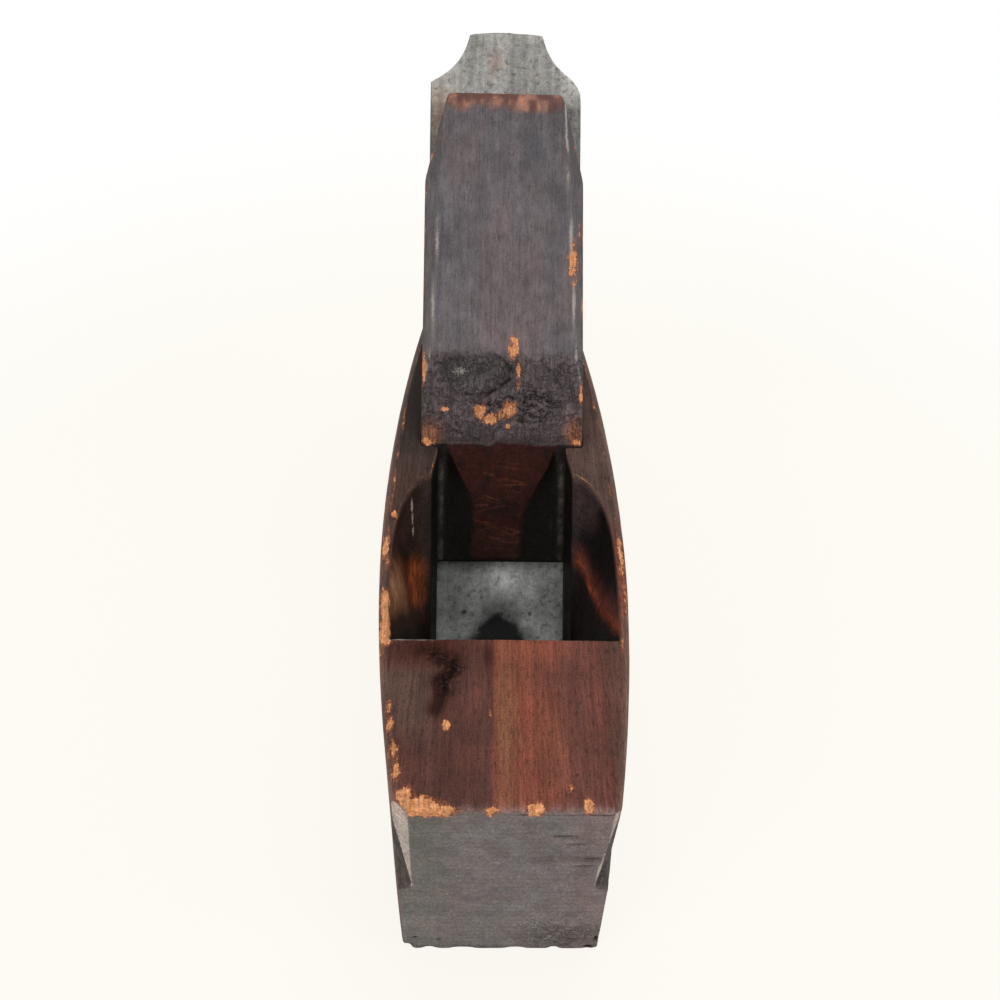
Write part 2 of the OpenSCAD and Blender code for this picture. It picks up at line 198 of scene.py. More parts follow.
def slab_quads(rows, columns, wall_rows):
    """Quads of two like grids, high then low, joined round their borders by wall rows."""
    index = np.arange(rows * columns).reshape(rows, columns)
    high = np.stack([index[:-1, :-1], index[:-1, 1:], index[1:, 1:], index[1:, :-1]], -1).reshape(-1, 4)
    low = high[:, ::-1] + rows * columns
    border = np.concatenate([index[0, :-1], index[:-1, -1], index[-1, :0:-1], index[:0:-1, 0]])
    inner = 2 * rows * columns + np.arange(wall_rows * len(border)).reshape(wall_rows, -1)
    rings = np.concatenate([border[None], inner, border[None] + rows * columns])
    turned = np.roll(rings, -1, 1)
    wall = np.stack([rings[:-1], rings[1:], turned[1:], turned[:-1]], -1).reshape(-1, 4)
    return np.concatenate([high, low, wall]), border


def quad_edges(quads):
    """Each quad's four sides as pairs, which is all that smoothing needs."""
    return np.concatenate([quads[:, [0, 1]], quads[:, [1, 2]], quads[:, [2, 3]], quads[:, [3, 0]]])


def soften(points, quads, weight, steps):
    """Moves each point part of the way to the mean of its neighbours, by its weight, in steps."""
    edges = quad_edges(quads)
    count = np.bincount(edges.ravel(), minlength=len(points)).astype(float)
    for _ in range(steps):
        mean = np.stack([
            np.bincount(edges[:, 0], points[edges[:, 1], k], len(points))
            + np.bincount(edges[:, 1], points[edges[:, 0], k], len(points))
            for k in range(3)
        ], 1) / count[:, None]
        points = points + weight[:, None] * (mean - points)
    return points


def surface_normals(points, quads):
    """Unit normals at the points, from the cross products of the quads' diagonals."""
    a, b, c, d = (points[quads[:, k]] for k in range(4))
    cross = np.cross(c - a, d - b)
    total = np.stack([
        sum(np.bincount(quads[:, k], cross[:, axis], len(points)) for k in range(4))
        for axis in range(3)
    ], 1)
    return total / np.maximum(np.linalg.norm(total, axis=1, keepdims=True), 1e-12)


def outward(points, quads):
    """The quads, all turned over if they enclose a negative volume."""
    a, b, c, d = (points[quads[:, k]] for k in range(4))
    volume = np.sum(np.cross(a, b) * c) + np.sum(np.cross(a, c) * d)
    return quads if volume > 0 else quads[:, ::-1]


def make_piece(name, body, node, points, quads, material, attributes=None, sharp=38.0):
    """Makes a mesh object from points in millimetres, and sets it on its body in place of its node."""
    quads = outward(points, quads)
    mesh = bpy.data.meshes.new(name)
    mesh.vertices.add(len(points))
    mesh.vertices.foreach_set("co", (points * MM).astype(np.float32).ravel())
    mesh.loops.add(quads.size)
    mesh.loops.foreach_set("vertex_index", quads.astype(np.int32).ravel())
    mesh.polygons.add(len(quads))
    mesh.polygons.foreach_set("loop_start", np.arange(0, quads.size, 4, dtype=np.int32))
    mesh.polygons.foreach_set("use_smooth", np.ones(len(quads), bool))
    mesh.update(calc_edges=True)
    if mesh.validate():
        raise RuntimeError(f"{name} has faces that had to be removed")
    mesh.set_sharp_from_angle(angle=np.radians(sharp))
    for key, values in (attributes or {}).items():
        if values.ndim == 1:
            layer = mesh.attributes.new(key, "FLOAT", "POINT")
            layer.data.foreach_set("value", values.astype(np.float32))
        else:
            layer = mesh.attributes.new(key, "FLOAT_COLOR", "POINT")
            rgba = np.concatenate([values, np.ones((len(values), 1))], 1)
            layer.data.foreach_set("color", rgba.astype(np.float32).ravel())
    piece = bpy.data.objects.new(name, mesh)
    bpy.context.scene.collection.objects.link(piece)
    mesh.materials.append(material)
    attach(piece, body)
    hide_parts(node)
    return piece


# Materials


class Shading:
    """A material's node tree, built by short calls that return output sockets."""

    def __init__(self, name):
        self.material = bpy.data.materials.new(name)
        self.material.use_nodes = True
        self.tree = self.material.node_tree
        self.tree.nodes.clear()
        self.output = self.tree.nodes.new("ShaderNodeOutputMaterial")
        self.shader = self.tree.nodes.new("ShaderNodeBsdfPrincipled")
        self.tree.links.new(self.shader.outputs[0], self.output.inputs[0])
        self.place = self.tree.nodes.new("ShaderNodeTexCoord").outputs["Object"]

    def put(self, socket, value):
        """Links a socket to another, or sets its value."""
        if isinstance(value, bpy.types.NodeSocket):
            self.tree.links.new(value, socket)
        else:
            socket.default_value = value

    def grain(self, tilt, stretch):
        """The object's own coordinates, turned by a tilt about x and drawn out along the grain."""
        node = self.tree.nodes.new("ShaderNodeMapping")
        node.vector_type = "TEXTURE"
        self.put(node.inputs["Vector"], self.place)
        node.inputs["Scale"].default_value = (1.0, stretch, 1.0)
        node.inputs["Rotation"].default_value = (tilt, 0.0, 0.0)
        return node.outputs[0]

    def noise(self, vector, scale, detail=4.0, rough=0.55, distortion=0.0):
        node = self.tree.nodes.new("ShaderNodeTexNoise")
        self.put(node.inputs["Vector"], vector)
        node.inputs["Scale"].default_value = scale
        node.inputs["Detail"].default_value = detail
        node.inputs["Roughness"].default_value = rough
        node.inputs["Distortion"].default_value = distortion
        return node.outputs["Fac"]

    def cells(self, vector, scale):
        node = self.tree.nodes.new("ShaderNodeTexVoronoi")
        self.put(node.inputs["Vector"], vector)
        node.inputs["Scale"].default_value = scale
        return node.outputs["Distance"]

    def bands(self, vector, scale, distortion, detail=3.0, direction="X"):
        node = self.tree.nodes.new("ShaderNodeTexWave")
        node.bands_direction = direction
        self.put(node.inputs["Vector"], vector)
        node.inputs["Scale"].default_value = scale
        node.inputs["Distortion"].default_value = distortion
        node.inputs["Detail"].default_value = detail
        node.inputs["Detail Scale"].default_value = 1.5
        return node.outputs["Fac"]

    def math(self, operation, a, b=0.0, c=0.0, clamp=False):
        node = self.tree.nodes.new("ShaderNodeMath")
        node.operation = operation
        node.use_clamp = clamp
        for socket, value in zip(node.inputs, (a, b, c)):
            self.put(socket, value)
        return node.outputs[0]

    def between(self, value, low, high, to_low=0.0, to_high=1.0):
        """Maps a value smoothly from low and high to two others."""
        node = self.tree.nodes.new("ShaderNodeMapRange")
        node.interpolation_type = "SMOOTHSTEP"
        for socket, number in zip(node.inputs, (value, low, high, to_low, to_high)):
            self.put(socket, number)
        return node.outputs[0]

    def mix(self, share, a, b, blend="MIX"):
        node = self.tree.nodes.new("ShaderNodeMix")
        node.data_type = "RGBA"
        node.blend_type = blend
        for index, value in ((0, share), (6, a), (7, b)):
            self.put(node.inputs[index], value)
        return node.outputs[2]

    def product(self, factors):
        """The product of several numbers, as a grey colour."""
        total = factors[0]
        for factor in factors[1:]:
            total = self.math("MULTIPLY", total, factor)
        node = self.tree.nodes.new("ShaderNodeCombineColor")
        for socket in node.inputs:
            self.put(socket, total)
        return node.outputs[0]

    def offset(self, value, noise, strength):
        """A value moved up and down by noise about a half."""
        return self.math("MULTIPLY_ADD", self.math("SUBTRACT", noise, 0.5), strength, value)

    def attribute(self, name, color=False):
        node = self.tree.nodes.new("ShaderNodeAttribute")
        node.attribute_name = name
        return node.outputs["Color" if color else "Fac"]

    def bump(self, height, distance, strength=1.0, normal=None):
        node = self.tree.nodes.new("ShaderNodeBump")
        self.put(node.inputs["Height"], height)
        node.inputs["Distance"].default_value = distance
        node.inputs["Strength"].default_value = strength
        if normal is not None:
            self.put(node.inputs["Normal"], normal)
        return node.outputs[0]

    def finish(self, color, roughness, normal, metallic=0.0, specular=0.5, coat=0.0, coat_rough=0.3):
        self.put(self.shader.inputs["Base Color"], color)
        self.put(self.shader.inputs["Roughness"], roughness)
        self.put(self.shader.inputs["Normal"], normal)
        self.shader.inputs["Metallic"].default_value = metallic
        self.shader.inputs["Specular IOR Level"].default_value = specular
        self.shader.inputs["Coat Weight"].default_value = coat
        self.shader.inputs["Coat Roughness"].default_value = coat_rough
        return self.material


def linear(red, green, blue):
    """A colour given as it looks on a screen, from 0 to 255, turned into light."""
    c = np.array([red, green, blue], float) / 255.0
    c = np.where(c <= 0.04045, c / 12.92, ((c + 0.055) / 1.055) ** 2.4)
    return (float(c[0]), float(c[1]), float(c[2]), 1.0)


def old_wood(name, bare, grime_and_shade, dust_and_highlight_color, rough, gloss, tilt=0.0, figure=1.0, ring=0.12):
    """Stained wood with fibres and pores along its grain, bare where worn, darkened by dirt and by painted shade, and
    paled by scuffs and by painted highlights.
    """
    s = Shading(name)
    along = s.grain(tilt, 24.0)
    short = s.grain(tilt, 6.0)
    tint = s.attribute("tint", color=True)
    fibres = s.noise(along, 1600.0, 5.0, 0.65)
    bands = s.noise(along, 260.0, 4.0, 0.6, 0.4)
    pores = s.noise(short, 2400.0, 2.0, 0.5)
    rings = s.bands(s.place, 170.0, 3.0, direction="Z")
    blotch = s.noise(s.place, 95.0, 6.0, 0.62)
    grit = s.noise(s.place, 2300.0, 3.0, 0.6)
    warm = s.noise(short, 130.0, 4.0, 0.6)
    flakes = s.noise(s.grain(tilt, 1.5), 560.0, 5.0, 0.64)
    split = s.math("ABSOLUTE", s.math("SUBTRACT", s.noise(s.place, 360.0, 6.0, 0.62, 0.9), 0.5))
    torn = s.attribute("torn")

    light = s.product((
        s.between(fibres, 0.34, 0.66, 0.80, 1.20),
        s.between(bands, 0.36, 0.64, 1.0 - 0.15 * figure, 1.0 + 0.15 * figure),
        s.between(pores, 0.34, 0.46, 0.66, 1.02),
        s.between(blotch, 0.34, 0.66, 0.86, 1.14),
        s.between(grit, 0.35, 0.65, 0.80, 1.20),
        s.between(rings, 0.0, 0.35, 1.0 - ring, 1.02),
    ))
    light = s.mix(s.attribute("calm"), light, (1.0, 1.0, 1.0, 1.0))
    stained = s.mix(1.0, tint, light, "MULTIPLY")
    ruddy = s.mix(1.0, stained, (1.10, 0.95, 0.89, 1.0), "MULTIPLY")
    stained = s.mix(s.between(warm, 0.42, 0.62, 0.0, 0.5 * figure), stained, ruddy)
    lines = s.math("MULTIPLY", torn, s.between(split, 0.010, 0.036, 0.95, 0.0))
    stained = s.mix(lines, stained, grime_and_shade)
    # Laid dark where the wood is dirty or stained, and where shade is painted
    soot_and_shade = s.offset(s.attribute("soot_and_shade"), blotch, 0.5)
    soot_and_shade = s.offset(soot_and_shade, fibres, 0.25)
    stained = s.mix(s.between(soot_and_shade, 0.12, 0.85, 0.0, 0.96), stained, grime_and_shade)

    ragged = s.offset(s.attribute("wear"), grit, 0.6)
    ragged = s.offset(ragged, fibres, 0.5)
    ragged = s.offset(ragged, flakes, 1.7)
    ragged = s.math("MULTIPLY", ragged, s.between(s.attribute("wear"), 0.08, 0.30))
    rubbed = s.between(ragged, 0.16, 0.50)
    raw = s.between(ragged, 0.46, 0.62)
    bare_light = s.product((
        s.between(fibres, 0.36, 0.64, 0.84, 1.20),
        s.between(pores, 0.34, 0.46, 0.70, 1.0),
        s.between(grit, 0.35, 0.62, 0.88, 1.14),
    ))
    ruddy_bare = s.mix(1.0, bare, (0.90, 0.76, 0.66, 1.0), "MULTIPLY")
    crumbs = s.noise(s.grain(tilt, 1.8), 1050.0, 4.0, 0.64)
    bare_color = s.mix(s.between(crumbs, 0.40, 0.58), ruddy_bare, bare)
    bare_color = s.mix(1.0, bare_color, bare_light, "MULTIPLY")
    half = s.mix(0.42, stained, s.mix(1.0, bare_color, (0.62, 0.44, 0.36, 1.0), "MULTIPLY"))
    color = s.mix(raw, s.mix(rubbed, stained, half), bare_color)

    # Paler where the wood is scuffed, and where highlights are painted
    dust_and_highlight_share = s.offset(s.offset(s.attribute("dust_and_highlight"), grit, 1.5), fibres, 0.8)
    dust_and_highlight_share = s.between(dust_and_highlight_share, 0.42, 0.90, 0.0, 0.85)
    color = s.mix(dust_and_highlight_share, color, dust_and_highlight_color)

    height = s.offset(s.math("MULTIPLY", fibres, 0.55), pores, 0.45)
    height = s.offset(s.offset(height, blotch, 0.8), grit, 0.25)
    height = s.math("MULTIPLY_ADD", raw, -0.45, height)
    height = s.math("MULTIPLY_ADD", s.math("MULTIPLY", raw, crumbs), 0.4, height)
    lumps = s.math("MULTIPLY_ADD", s.between(split, 0.0, 0.08), 0.6, flakes)
    normal = s.bump(s.math("MULTIPLY", torn, lumps), 0.0009, 0.9)
    normal = s.bump(height, 0.00030, 0.8, normal)
    roughness = s.between(blotch, 0.3, 0.7, rough - 0.07, rough + 0.12)
    roughness = s.math("MULTIPLY_ADD", raw, 0.25, roughness, clamp=True)
    return s.finish(color, roughness, normal, specular=gloss)


def old_steel(name, dark, rust, rough, tilt=0.0, metallic=0.4, streak=1.0, gloss=0.4, pits=0.6):
    """Dull steel: its tint streaked along the blade, with dark pits and a brown bloom of rust."""
    s = Shading(name)
    along = s.grain(tilt, 16.0)
    short = s.grain(tilt, 4.0)
    tint = s.attribute("tint", color=True)
    streaks = s.noise(along, 620.0, 5.0, 0.62)
    runs = s.noise(along, 170.0, 3.0, 0.5, 0.5)
    clouds = s.noise(s.place, 120.0, 5.0, 0.62)
    grit = s.noise(s.place, 1500.0, 4.0, 0.65)
    specks = s.noise(short if streak > 0.8 else s.place, 640.0, 2.0, 0.5)
    light = s.product((
        s.between(streaks, 0.34, 0.66, 1.0 - 0.22 * streak, 1.0 + 0.22 * streak),
        s.between(runs, 0.36, 0.64, 1.0 - 0.16 * streak, 1.0 + 0.14 * streak),
        s.between(clouds, 0.34, 0.66, 0.90, 1.10),
        s.between(grit, 0.34, 0.66, 0.82, 1.16),
        s.between(s.noise(short if streak > 0.8 else s.place, 520.0, 3.0, 0.6), 0.34, 0.66, 0.84, 1.12),
    ))
    base = s.mix(1.0, tint, light, "MULTIPLY")
    pitted = s.between(s.offset(specks, grit, 0.9), 0.565, 0.74, 0.0, pits)
    base = s.mix(pitted, base, dark)
    bloom = s.between(s.offset(s.attribute("bloom"), clouds, 1.0), 0.2, 0.9, 0.0, 0.8)
    rusted = s.mix(bloom, base, s.mix(1.0, rust, light, "MULTIPLY"))
    # Darkened where the steel is dirty, and where shade is painted, as in the cap iron's dark blob
    soot_and_shade = s.offset(s.offset(s.attribute("soot_and_shade"), grit, 0.6), clouds, 0.6)
    final = s.mix(s.between(soot_and_shade, 0.25, 0.75, 0.0, 0.97), rusted, dark)
    height = s.offset(s.math("MULTIPLY", streaks, 0.3), grit, 0.5)
    height = s.math("MULTIPLY_ADD", pitted, -0.5, height)
    normal = s.bump(height, 0.00016, 0.7)
    roughness = s.between(clouds, 0.3, 0.7, rough - 0.06, rough + 0.10)
    roughness = s.math("MULTIPLY_ADD", bloom, 0.2, roughness, clamp=True)
    return s.finish(final, roughness, normal, metallic=metallic, specular=gloss)


# The stock


def side_x(y):
    """Half-width of the stock: one arc from the belly to the toe and another to the heel."""
    reach = np.where(y < BELLY_Y, BELLY_Y - TOE_Y, HEEL_Y - BELLY_Y)
    rise = np.where(y < BELLY_Y, BELLY_HALF - TOE_HALF, BELLY_HALF - HEEL_HALF)
    radius = (rise ** 2 + reach ** 2) / (2.0 * rise)
    return BELLY_HALF - radius + np.sqrt(radius ** 2 - (y - BELLY_Y) ** 2)


# Half-way round, from the middle of the toe to the middle of the heel
GAPS = np.array([0.0, 0.3, 0.65, 1.1, 1.7, 2.4, 3.0, 3.4, 3.9, 4.6, 5.5])
NEAR_GAPS = np.linspace(6.0, 11.0, 11)
TOE_XS = np.concatenate([np.linspace(0, TOE_HALF - 6.2, 31), TOE_HALF - GAPS[::-1]])
FRONT_YS = np.concatenate([TOE_Y + GAPS[1:], TOE_Y + NEAR_GAPS, np.linspace(TOE_Y + 11.8, THROAT_Y, 34)])
CHEEK_N, EYE_N, FLARE_N, ABUTMENT_N, SLOT_N, REAR_N = 32, 30, 12, 9, 10, 18
CHEEK_YS = np.linspace(THROAT_Y, EYE_Y - EYE_LEN, CHEEK_N + 1)[1:]
EYE_YS = np.linspace(EYE_Y - EYE_LEN, -1.0, EYE_N + 1)[1:]
FLARE_YS = np.linspace(-1.0, 10.0, FLARE_N + 1)[1:]
ABUTMENT_YS = np.linspace(10.0, 17.5, ABUTMENT_N + 1)[1:]
SLOT_YS = np.linspace(17.5, 42.0, SLOT_N + 1)[1:]
REAR_YS = np.concatenate([
    np.linspace(42.0, HEEL_Y - 11.8, REAR_N)[1:], HEEL_Y - NEAR_GAPS[::-1], HEEL_Y - GAPS[::-1],
])
HEEL_XS = np.concatenate([HEEL_HALF - GAPS[1:], np.linspace(HEEL_HALF - 6.4, 0.0, 16)])
SIDE_YS = np.concatenate([FRONT_YS, CHEEK_YS, EYE_YS, FLARE_YS, ABUTMENT_YS, SLOT_YS, REAR_YS])
TOE_CORNER = len(TOE_XS) - 1
FRONT_CORNER = TOE_CORNER + len(FRONT_YS)
EYE_START = FRONT_CORNER + CHEEK_N
EYE_END = EYE_START + EYE_N
ABUTMENT_CORNER = EYE_END + FLARE_N
SLOT_CORNER = ABUTMENT_CORNER + ABUTMENT_N
BED_CORNER = SLOT_CORNER + SLOT_N
HEEL_CORNER = BED_CORNER + len(REAR_YS)
HALF_COUNT = HEEL_CORNER + len(HEEL_XS) + 1
GROOVE_EDGE = HEEL_CORNER + 13
GROOVE_INNER = GROOVE_EDGE + 7


# The gouge cut that ends each upright facet: its low edge, its rise and its plane's lean
SCOOP_LOW = 28.3
SCOOP_FULL = 30.3
SCOOP_TOP = 51.0
SCOOP_FACE = np.array([0.894, -0.449])
SCOOP_LEAN = 1.6 / (SCOOP_TOP - SCOOP_FULL)


def scoop_depth(plan, z, half, end_y, ahead):
    """How far plan points lie beyond the leaning plane of the gouge cut at one end, and its normal."""
    scoop = SCOOP_FACE * np.array([1.0, -ahead])
    foot = np.array([half - CORNER_DEPTH / S45 + 0.1, end_y])
    return (plan - foot) @ scoop - SCOOP_LEAN * (z - SCOOP_FULL), scoop


def outer_half(z, toe_share):
    """Half of the outline at heights z: the toe, the side's two arcs and the heel, with cut corners.

    Each corner is cut by an upright plane, and lower down by a plane that leans under it and faces
    more to the side. Both cuts run out over a short rise where the gouge left the wood.
    """
    z = np.asarray(z, float)[:, None]
    inset = np.clip(z - (TOP_Z - CHAMFER), 0.0, CHAMFER)
    toe_x = TOE_XS[None] * (TOE_HALF - inset) / TOE_HALF
    toe = np.stack([toe_x, np.full_like(toe_x, TOE_Y)], -1)
    side_y = TOE_Y + (SIDE_YS[None] - TOE_Y) * (1.0 - inset / (HEEL_Y - TOE_Y))
    side = np.stack([side_x(side_y) - inset, side_y], -1)
    heel_x = HEEL_XS[None] * (HEEL_HALF - inset) / HEEL_HALF
    heel = np.stack([heel_x, np.broadcast_to(HEEL_Y - inset, heel_x.shape)], -1)
    plan = np.concatenate([toe, side, heel], 1)
    cut = step(SCOOP_LOW, SCOOP_FULL, z)
    ends = ((TOE_HALF, TOE_Y, -1.0, np.reshape(toe_share, (-1, 1))), (HEEL_HALF, HEEL_Y, 1.0, 1.0))
    for half, end_y, ahead, share in ends:
        facet = np.array([S45, S45 * ahead])
        past = (plan - np.array([half, end_y])) @ facet + CORNER_DEPTH * share
        plan = plan - (cut * np.maximum(past, 0.0))[..., None] * facet
        past, scoop = scoop_depth(plan, z, half, end_y, ahead)
        plan = plan - (cut * np.maximum(past, 0.0))[..., None] * scoop
    return plan


def eye_x(y):
    """Half-width of the throat at the top: a wall's thickness inside the side, then a quarter ellipse."""
    t = np.clip((y - THROAT_Y) / (EYE_Y - EYE_LEN - THROAT_Y), 0.0, 1.0)
    straight = side_x(y) - WALL_FRONT - (WALL_EYE - WALL_FRONT) * t
    start = side_x(np.array(EYE_Y - EYE_LEN)) - WALL_EYE
    end = THROAT_HALF + FLARE - FLARE_OVERLAP
    turn = np.clip((y - (EYE_Y - EYE_LEN)) / EYE_LEN, 0.0, 1.0)
    return np.where(y < EYE_Y - EYE_LEN, straight, end + (start - end) * np.sqrt(1.0 - turn ** 2))


def flare_x(y, z):
    """Half-width between the abutments' inner faces, which open with the height off the bed."""
    off = (z - (y - BED_Y)) * S45
    low = abutment_back(ABUTMENT_TOP_S) - FLARE_OVERLAP
    high = (TOP_Z - (EYE_Y - BED_Y)) * S45
    opening = np.clip((off - low) / (high - low), 0.0, 1.0) * (1.0 - step(high, high + 1.2, off))
    return THROAT_HALF + FLARE * opening


def throat_front_y(z):
    """Place of the throat's front at a height: the upright wear, then out to the foot and up."""
    return np.interp(z, [0.0, WEAR_H, FOOT_H, TOP_Z], [MOUTH_Y, WEAR_TOP_Y, FOOT_Y, THROAT_Y])


def slot_front_y(z):
    """Place of the front of the slot for irons and wedge, under and on the abutments."""
    heights = [0.0, WEAR_ROOM_H, ABUTMENT_FOOT_Z, TOP_Z]
    places = [MOUTH_Y, throat_front_y(WEAR_ROOM_H), ABUTMENT_FOOT_Y, ABUTMENT_Y]
    return np.interp(z, heights, places)


def mouth_share():
    """Where each column of the wall comes to the mouth: 0 to 1 along its front, 1 to 2 along its side.

    Columns that start on the side ahead of the mouth's front end on that front, and the others on its
    side, so that the sole's rows never cross the opening.
    """
    side_y = SIDE_YS[len(FRONT_YS):len(FRONT_YS) + BED_CORNER - FRONT_CORNER]
    ahead = (np.minimum(side_y, MOUTH_Y) - THROAT_Y) / (MOUTH_Y - THROAT_Y)
    beyond = (np.maximum(side_y, MOUTH_Y) - MOUTH_Y) / (side_y[-1] - MOUTH_Y)
    return ahead + beyond


def throat_half(z):
    """Half of the throat's outline at heights z, from the middle of its front to the middle of the bed."""
    z = np.asarray(z, float)[:, None]
    share = np.clip((TOP_Z - z) / (TOP_Z - FOOT_H), 0.0, 0.985)
    front_y = throat_front_y(z)
    back_y = slot_front_y(z)
    # The front edge, squeezed to the width between the cheeks
    top_corner = float(eye_x(np.array(THROAT_Y)))
    corner_x = top_corner + (THROAT_HALF - top_corner) * np.clip((TOP_Z - z) / (TOP_Z - FOOT_H), 0, 1)
    front_t = np.linspace(0.0, 1.0, FRONT_CORNER + 1)[None]
    front = np.stack([corner_x * front_t, np.broadcast_to(front_y, (len(z), FRONT_CORNER + 1))], -1)
    # The cheeks and eyes, which run to the foot, and the flared faces behind them
    turn = np.linspace(0.0, np.pi / 2, EYE_N + 1)[1:]
    top_y = np.concatenate([CHEEK_YS, EYE_Y - EYE_LEN + EYE_LEN * np.sin(turn)])[None]
    cheek_y = top_y + (FOOT_Y - top_y) * share
    cheek_x = eye_x(top_y) + (THROAT_HALF - eye_x(top_y)) * share
    cheek_x = np.maximum(cheek_x, flare_x(cheek_y, z))
    flare_t = np.linspace(0.0, 1.0, FLARE_N + 1)[None, 1:]
    flare_y = cheek_y[:, -1:] + (back_y - cheek_y[:, -1:]) * flare_t
    wall_y = np.concatenate([cheek_y, flare_y], 1)
    wall_x = np.concatenate([cheek_x, flare_x(flare_y, z)], 1)
    # Below the foot the wall is straight, and below the slot's foot it lies on the front
    wall_n = wall_y.shape[1]
    even = np.linspace(0.0, 1.0, wall_n + 1)[None, 1:]
    low = step(0.0, 5.0, FOOT_H - z)
    straight_y = front_y + (back_y - front_y) * even
    wall_y = np.where(z < FOOT_H, wall_y * (1 - low) + straight_y * low, wall_y)
    collapsed_y = front_y + (back_y - front_y) * (wall_y[:1] * 0 + even)
    wall_y = np.where(z < FOOT_H - 5.0, collapsed_y, wall_y)
    wall_x = np.where(z < FOOT_H, THROAT_HALF, wall_x)
    wall = np.stack([wall_x, wall_y], -1)
    # The back of the abutment, the side of the slot and the bed with its groove
    step_t = np.linspace(0.0, 1.0, ABUTMENT_N + 1)[None, 1:, None]
    slot_corner = np.stack([np.full_like(back_y, SLOT_HALF), back_y], -1)
    abutment = wall[:, -1:] + (slot_corner - wall[:, -1:]) * step_t
    bed_y = BED_Y + z
    bed_corner = np.stack([np.full_like(bed_y, SLOT_HALF), bed_y], -1)
    slot_t = np.linspace(0.0, 1.0, SLOT_N + 1)[None, 1:, None]
    slot = slot_corner + (bed_corner - slot_corner) * slot_t
    run = np.concatenate([wall, abutment, slot], 1)
    # Under the slot's foot the room is a box, round whose corner the columns slide to their places
    foot_share = np.concatenate([0.8 * even[0], 0.8 + 0.2 * step_t.ravel(), 1.0 + slot_t.ravel()])
    share = foot_share + (mouth_share() - foot_share) * step(WEAR_ROOM_H, 1.1, z)
    share[np.arange(len(share)), np.argmin(np.abs(share - 1.0), 1)] = 1.0
    box_x = THROAT_HALF + (SLOT_HALF - THROAT_HALF) * np.minimum(share, 1.0)
    box_y = front_y + (bed_y - front_y) * np.maximum(share - 1.0, 0.0)
    run = np.where((z <= WEAR_ROOM_H)[..., None], np.stack([box_x, box_y], -1), run)
    s = z / S45
    round_end = np.sqrt(np.clip(GROOVE_R ** 2 - np.clip(GROOVE_END_S - s, 0.0, GROOVE_R) ** 2, 4.0, None))
    edge_x = np.where(s > GROOVE_END_S - GROOVE_R, round_end, GROOVE_R)
    depth = np.where(s > GROOVE_END_S - GROOVE_R, GROOVE_DEPTH / S45, 0.0)
    bed_n = GROOVE_EDGE - BED_CORNER
    bed_x = SLOT_HALF + (edge_x - SLOT_HALF) * np.linspace(0.0, 1.0, bed_n + 1)[None, 1:]
    bed = np.stack([bed_x, np.broadcast_to(bed_y, bed_x.shape)], -1)
    side_n = GROOVE_INNER - GROOVE_EDGE
    side_y = bed_y + depth * np.linspace(0.0, 1.0, side_n + 1)[None, 1:]
    groove_side = np.stack([np.broadcast_to(edge_x, side_y.shape), side_y], -1)
    floor_n = HALF_COUNT - 1 - GROOVE_INNER
    floor_x = edge_x * (1.0 - np.linspace(0.0, 1.0, floor_n + 1)[None, 1:])
    groove_floor = np.stack([floor_x, np.broadcast_to(bed_y + depth, floor_x.shape)], -1)
    return np.concatenate([front, run, bed, groove_side, groove_floor], 1)


def whole_loop(half, other=None):
    """Closes half-outlines into loops with a mirrored copy of themselves or of another half."""
    mirrored = (half if other is None else other)[..., -2:0:-1, :] * np.array([-1.0, 1.0])
    return np.concatenate([half, mirrored], -2)


# Bare spots on the top: centre x and y, the two radii, and how bare
TOP_WEAR = (
    (-17.5, -94.2, 4.8, 2.3, 1.3),
    (-13.5, -94.9, 3.6, 1.4, 1.2),
    (-20.6, -91.6, 2.0, 2.4, 0.9),
    (-3.1, -94.7, 1.3, 0.9, 0.9),
    (5.6, -94.3, 2.2, 1.6, 1.0),
    (16.2, -93.9, 1.0, 1.8, 1.1),
    (-12.8, -74.6, 1.0, 1.3, 1.0),
    (-3.3, -71.5, 0.5, 1.3, 0.8),
    (13.0, -89.6, 0.6, 0.8, 0.9),
    (-25.4, -70.0, 0.9, 3.0, 0.75),
    (-24.9, -74.5, 1.1, 2.6, 0.8),
    (-23.7, -80.5, 1.2, 2.6, 0.85),
    (-22.8, -85.5, 1.1, 3.2, 0.85),
    (-27.6, -46.5, 3.4, 5.0, 1.6),
    (-28.6, -40.0, 2.0, 5.5, 1.4),
    (-28.9, -54.0, 1.2, 6.0, 1.1),
    (-28.4, -62.0, 0.9, 5.0, 0.9),
    (-29.8, -20.8, 1.3, 3.4, 1.3),
    (-27.9, -9.5, 0.9, 1.3, 1.1),
    (29.6, -24.0, 1.2, 8.0, 0.85),
    (29.5, -38.0, 1.3, 9.0, 0.72),
)

# Small holes, nicks and open lines of grain on the toe: centre x and height, and the two radii
TOE_HOLES = (
    (-19.9, 5.6, 0.65, 0.55), (-14.4, 4.6, 0.55, 0.5),
    (-21.6, 1.6, 1.1, 0.8), (-16.8, 0.5, 1.3, 0.7), (-9.0, 0.3, 2.2, 0.4), (3.5, 0.3, 1.6, 0.45),
    (12.5, 0.4, 1.0, 0.6), (20.6, 1.0, 1.2, 0.8), (22.2, 5.0, 0.6, 1.4), (21.9, 11.0, 0.5, 1.0),
    (15.0, 47.5, 4.0, 0.14), (17.8, 44.6, 3.0, 0.16), (18.6, 41.8, 2.4, 0.16), (12.0, 50.6, 3.0, 0.12),
    (17.0, 38.6, 2.6, 0.12), (-12.0, 30.8, 3.4, 0.12), (-4.0, 23.4, 4.6, 0.11), (9.0, 20.2, 3.4, 0.12),
)

# The dark crack and the stain beside it on the top
CRACK = (
    (-17.0, -54.6), (-16.0, -55.3), (-14.6, -56.6), (-11.9, -57.3),
    (-11.2, -59.3), (-12.2, -61.3), (-13.7, -62.7), (-13.0, -65.4),
)
STAIN = ((-13.3, -63.5), (-13.2, -66.5), (-13.8, -68.5), (-14.8, -70.6))
TIDE = ((-24.7, -52.8), (-23.6, -55.7), (-20.8, -57.1), (-18.0, -58.0), (-15.5, -58.6))


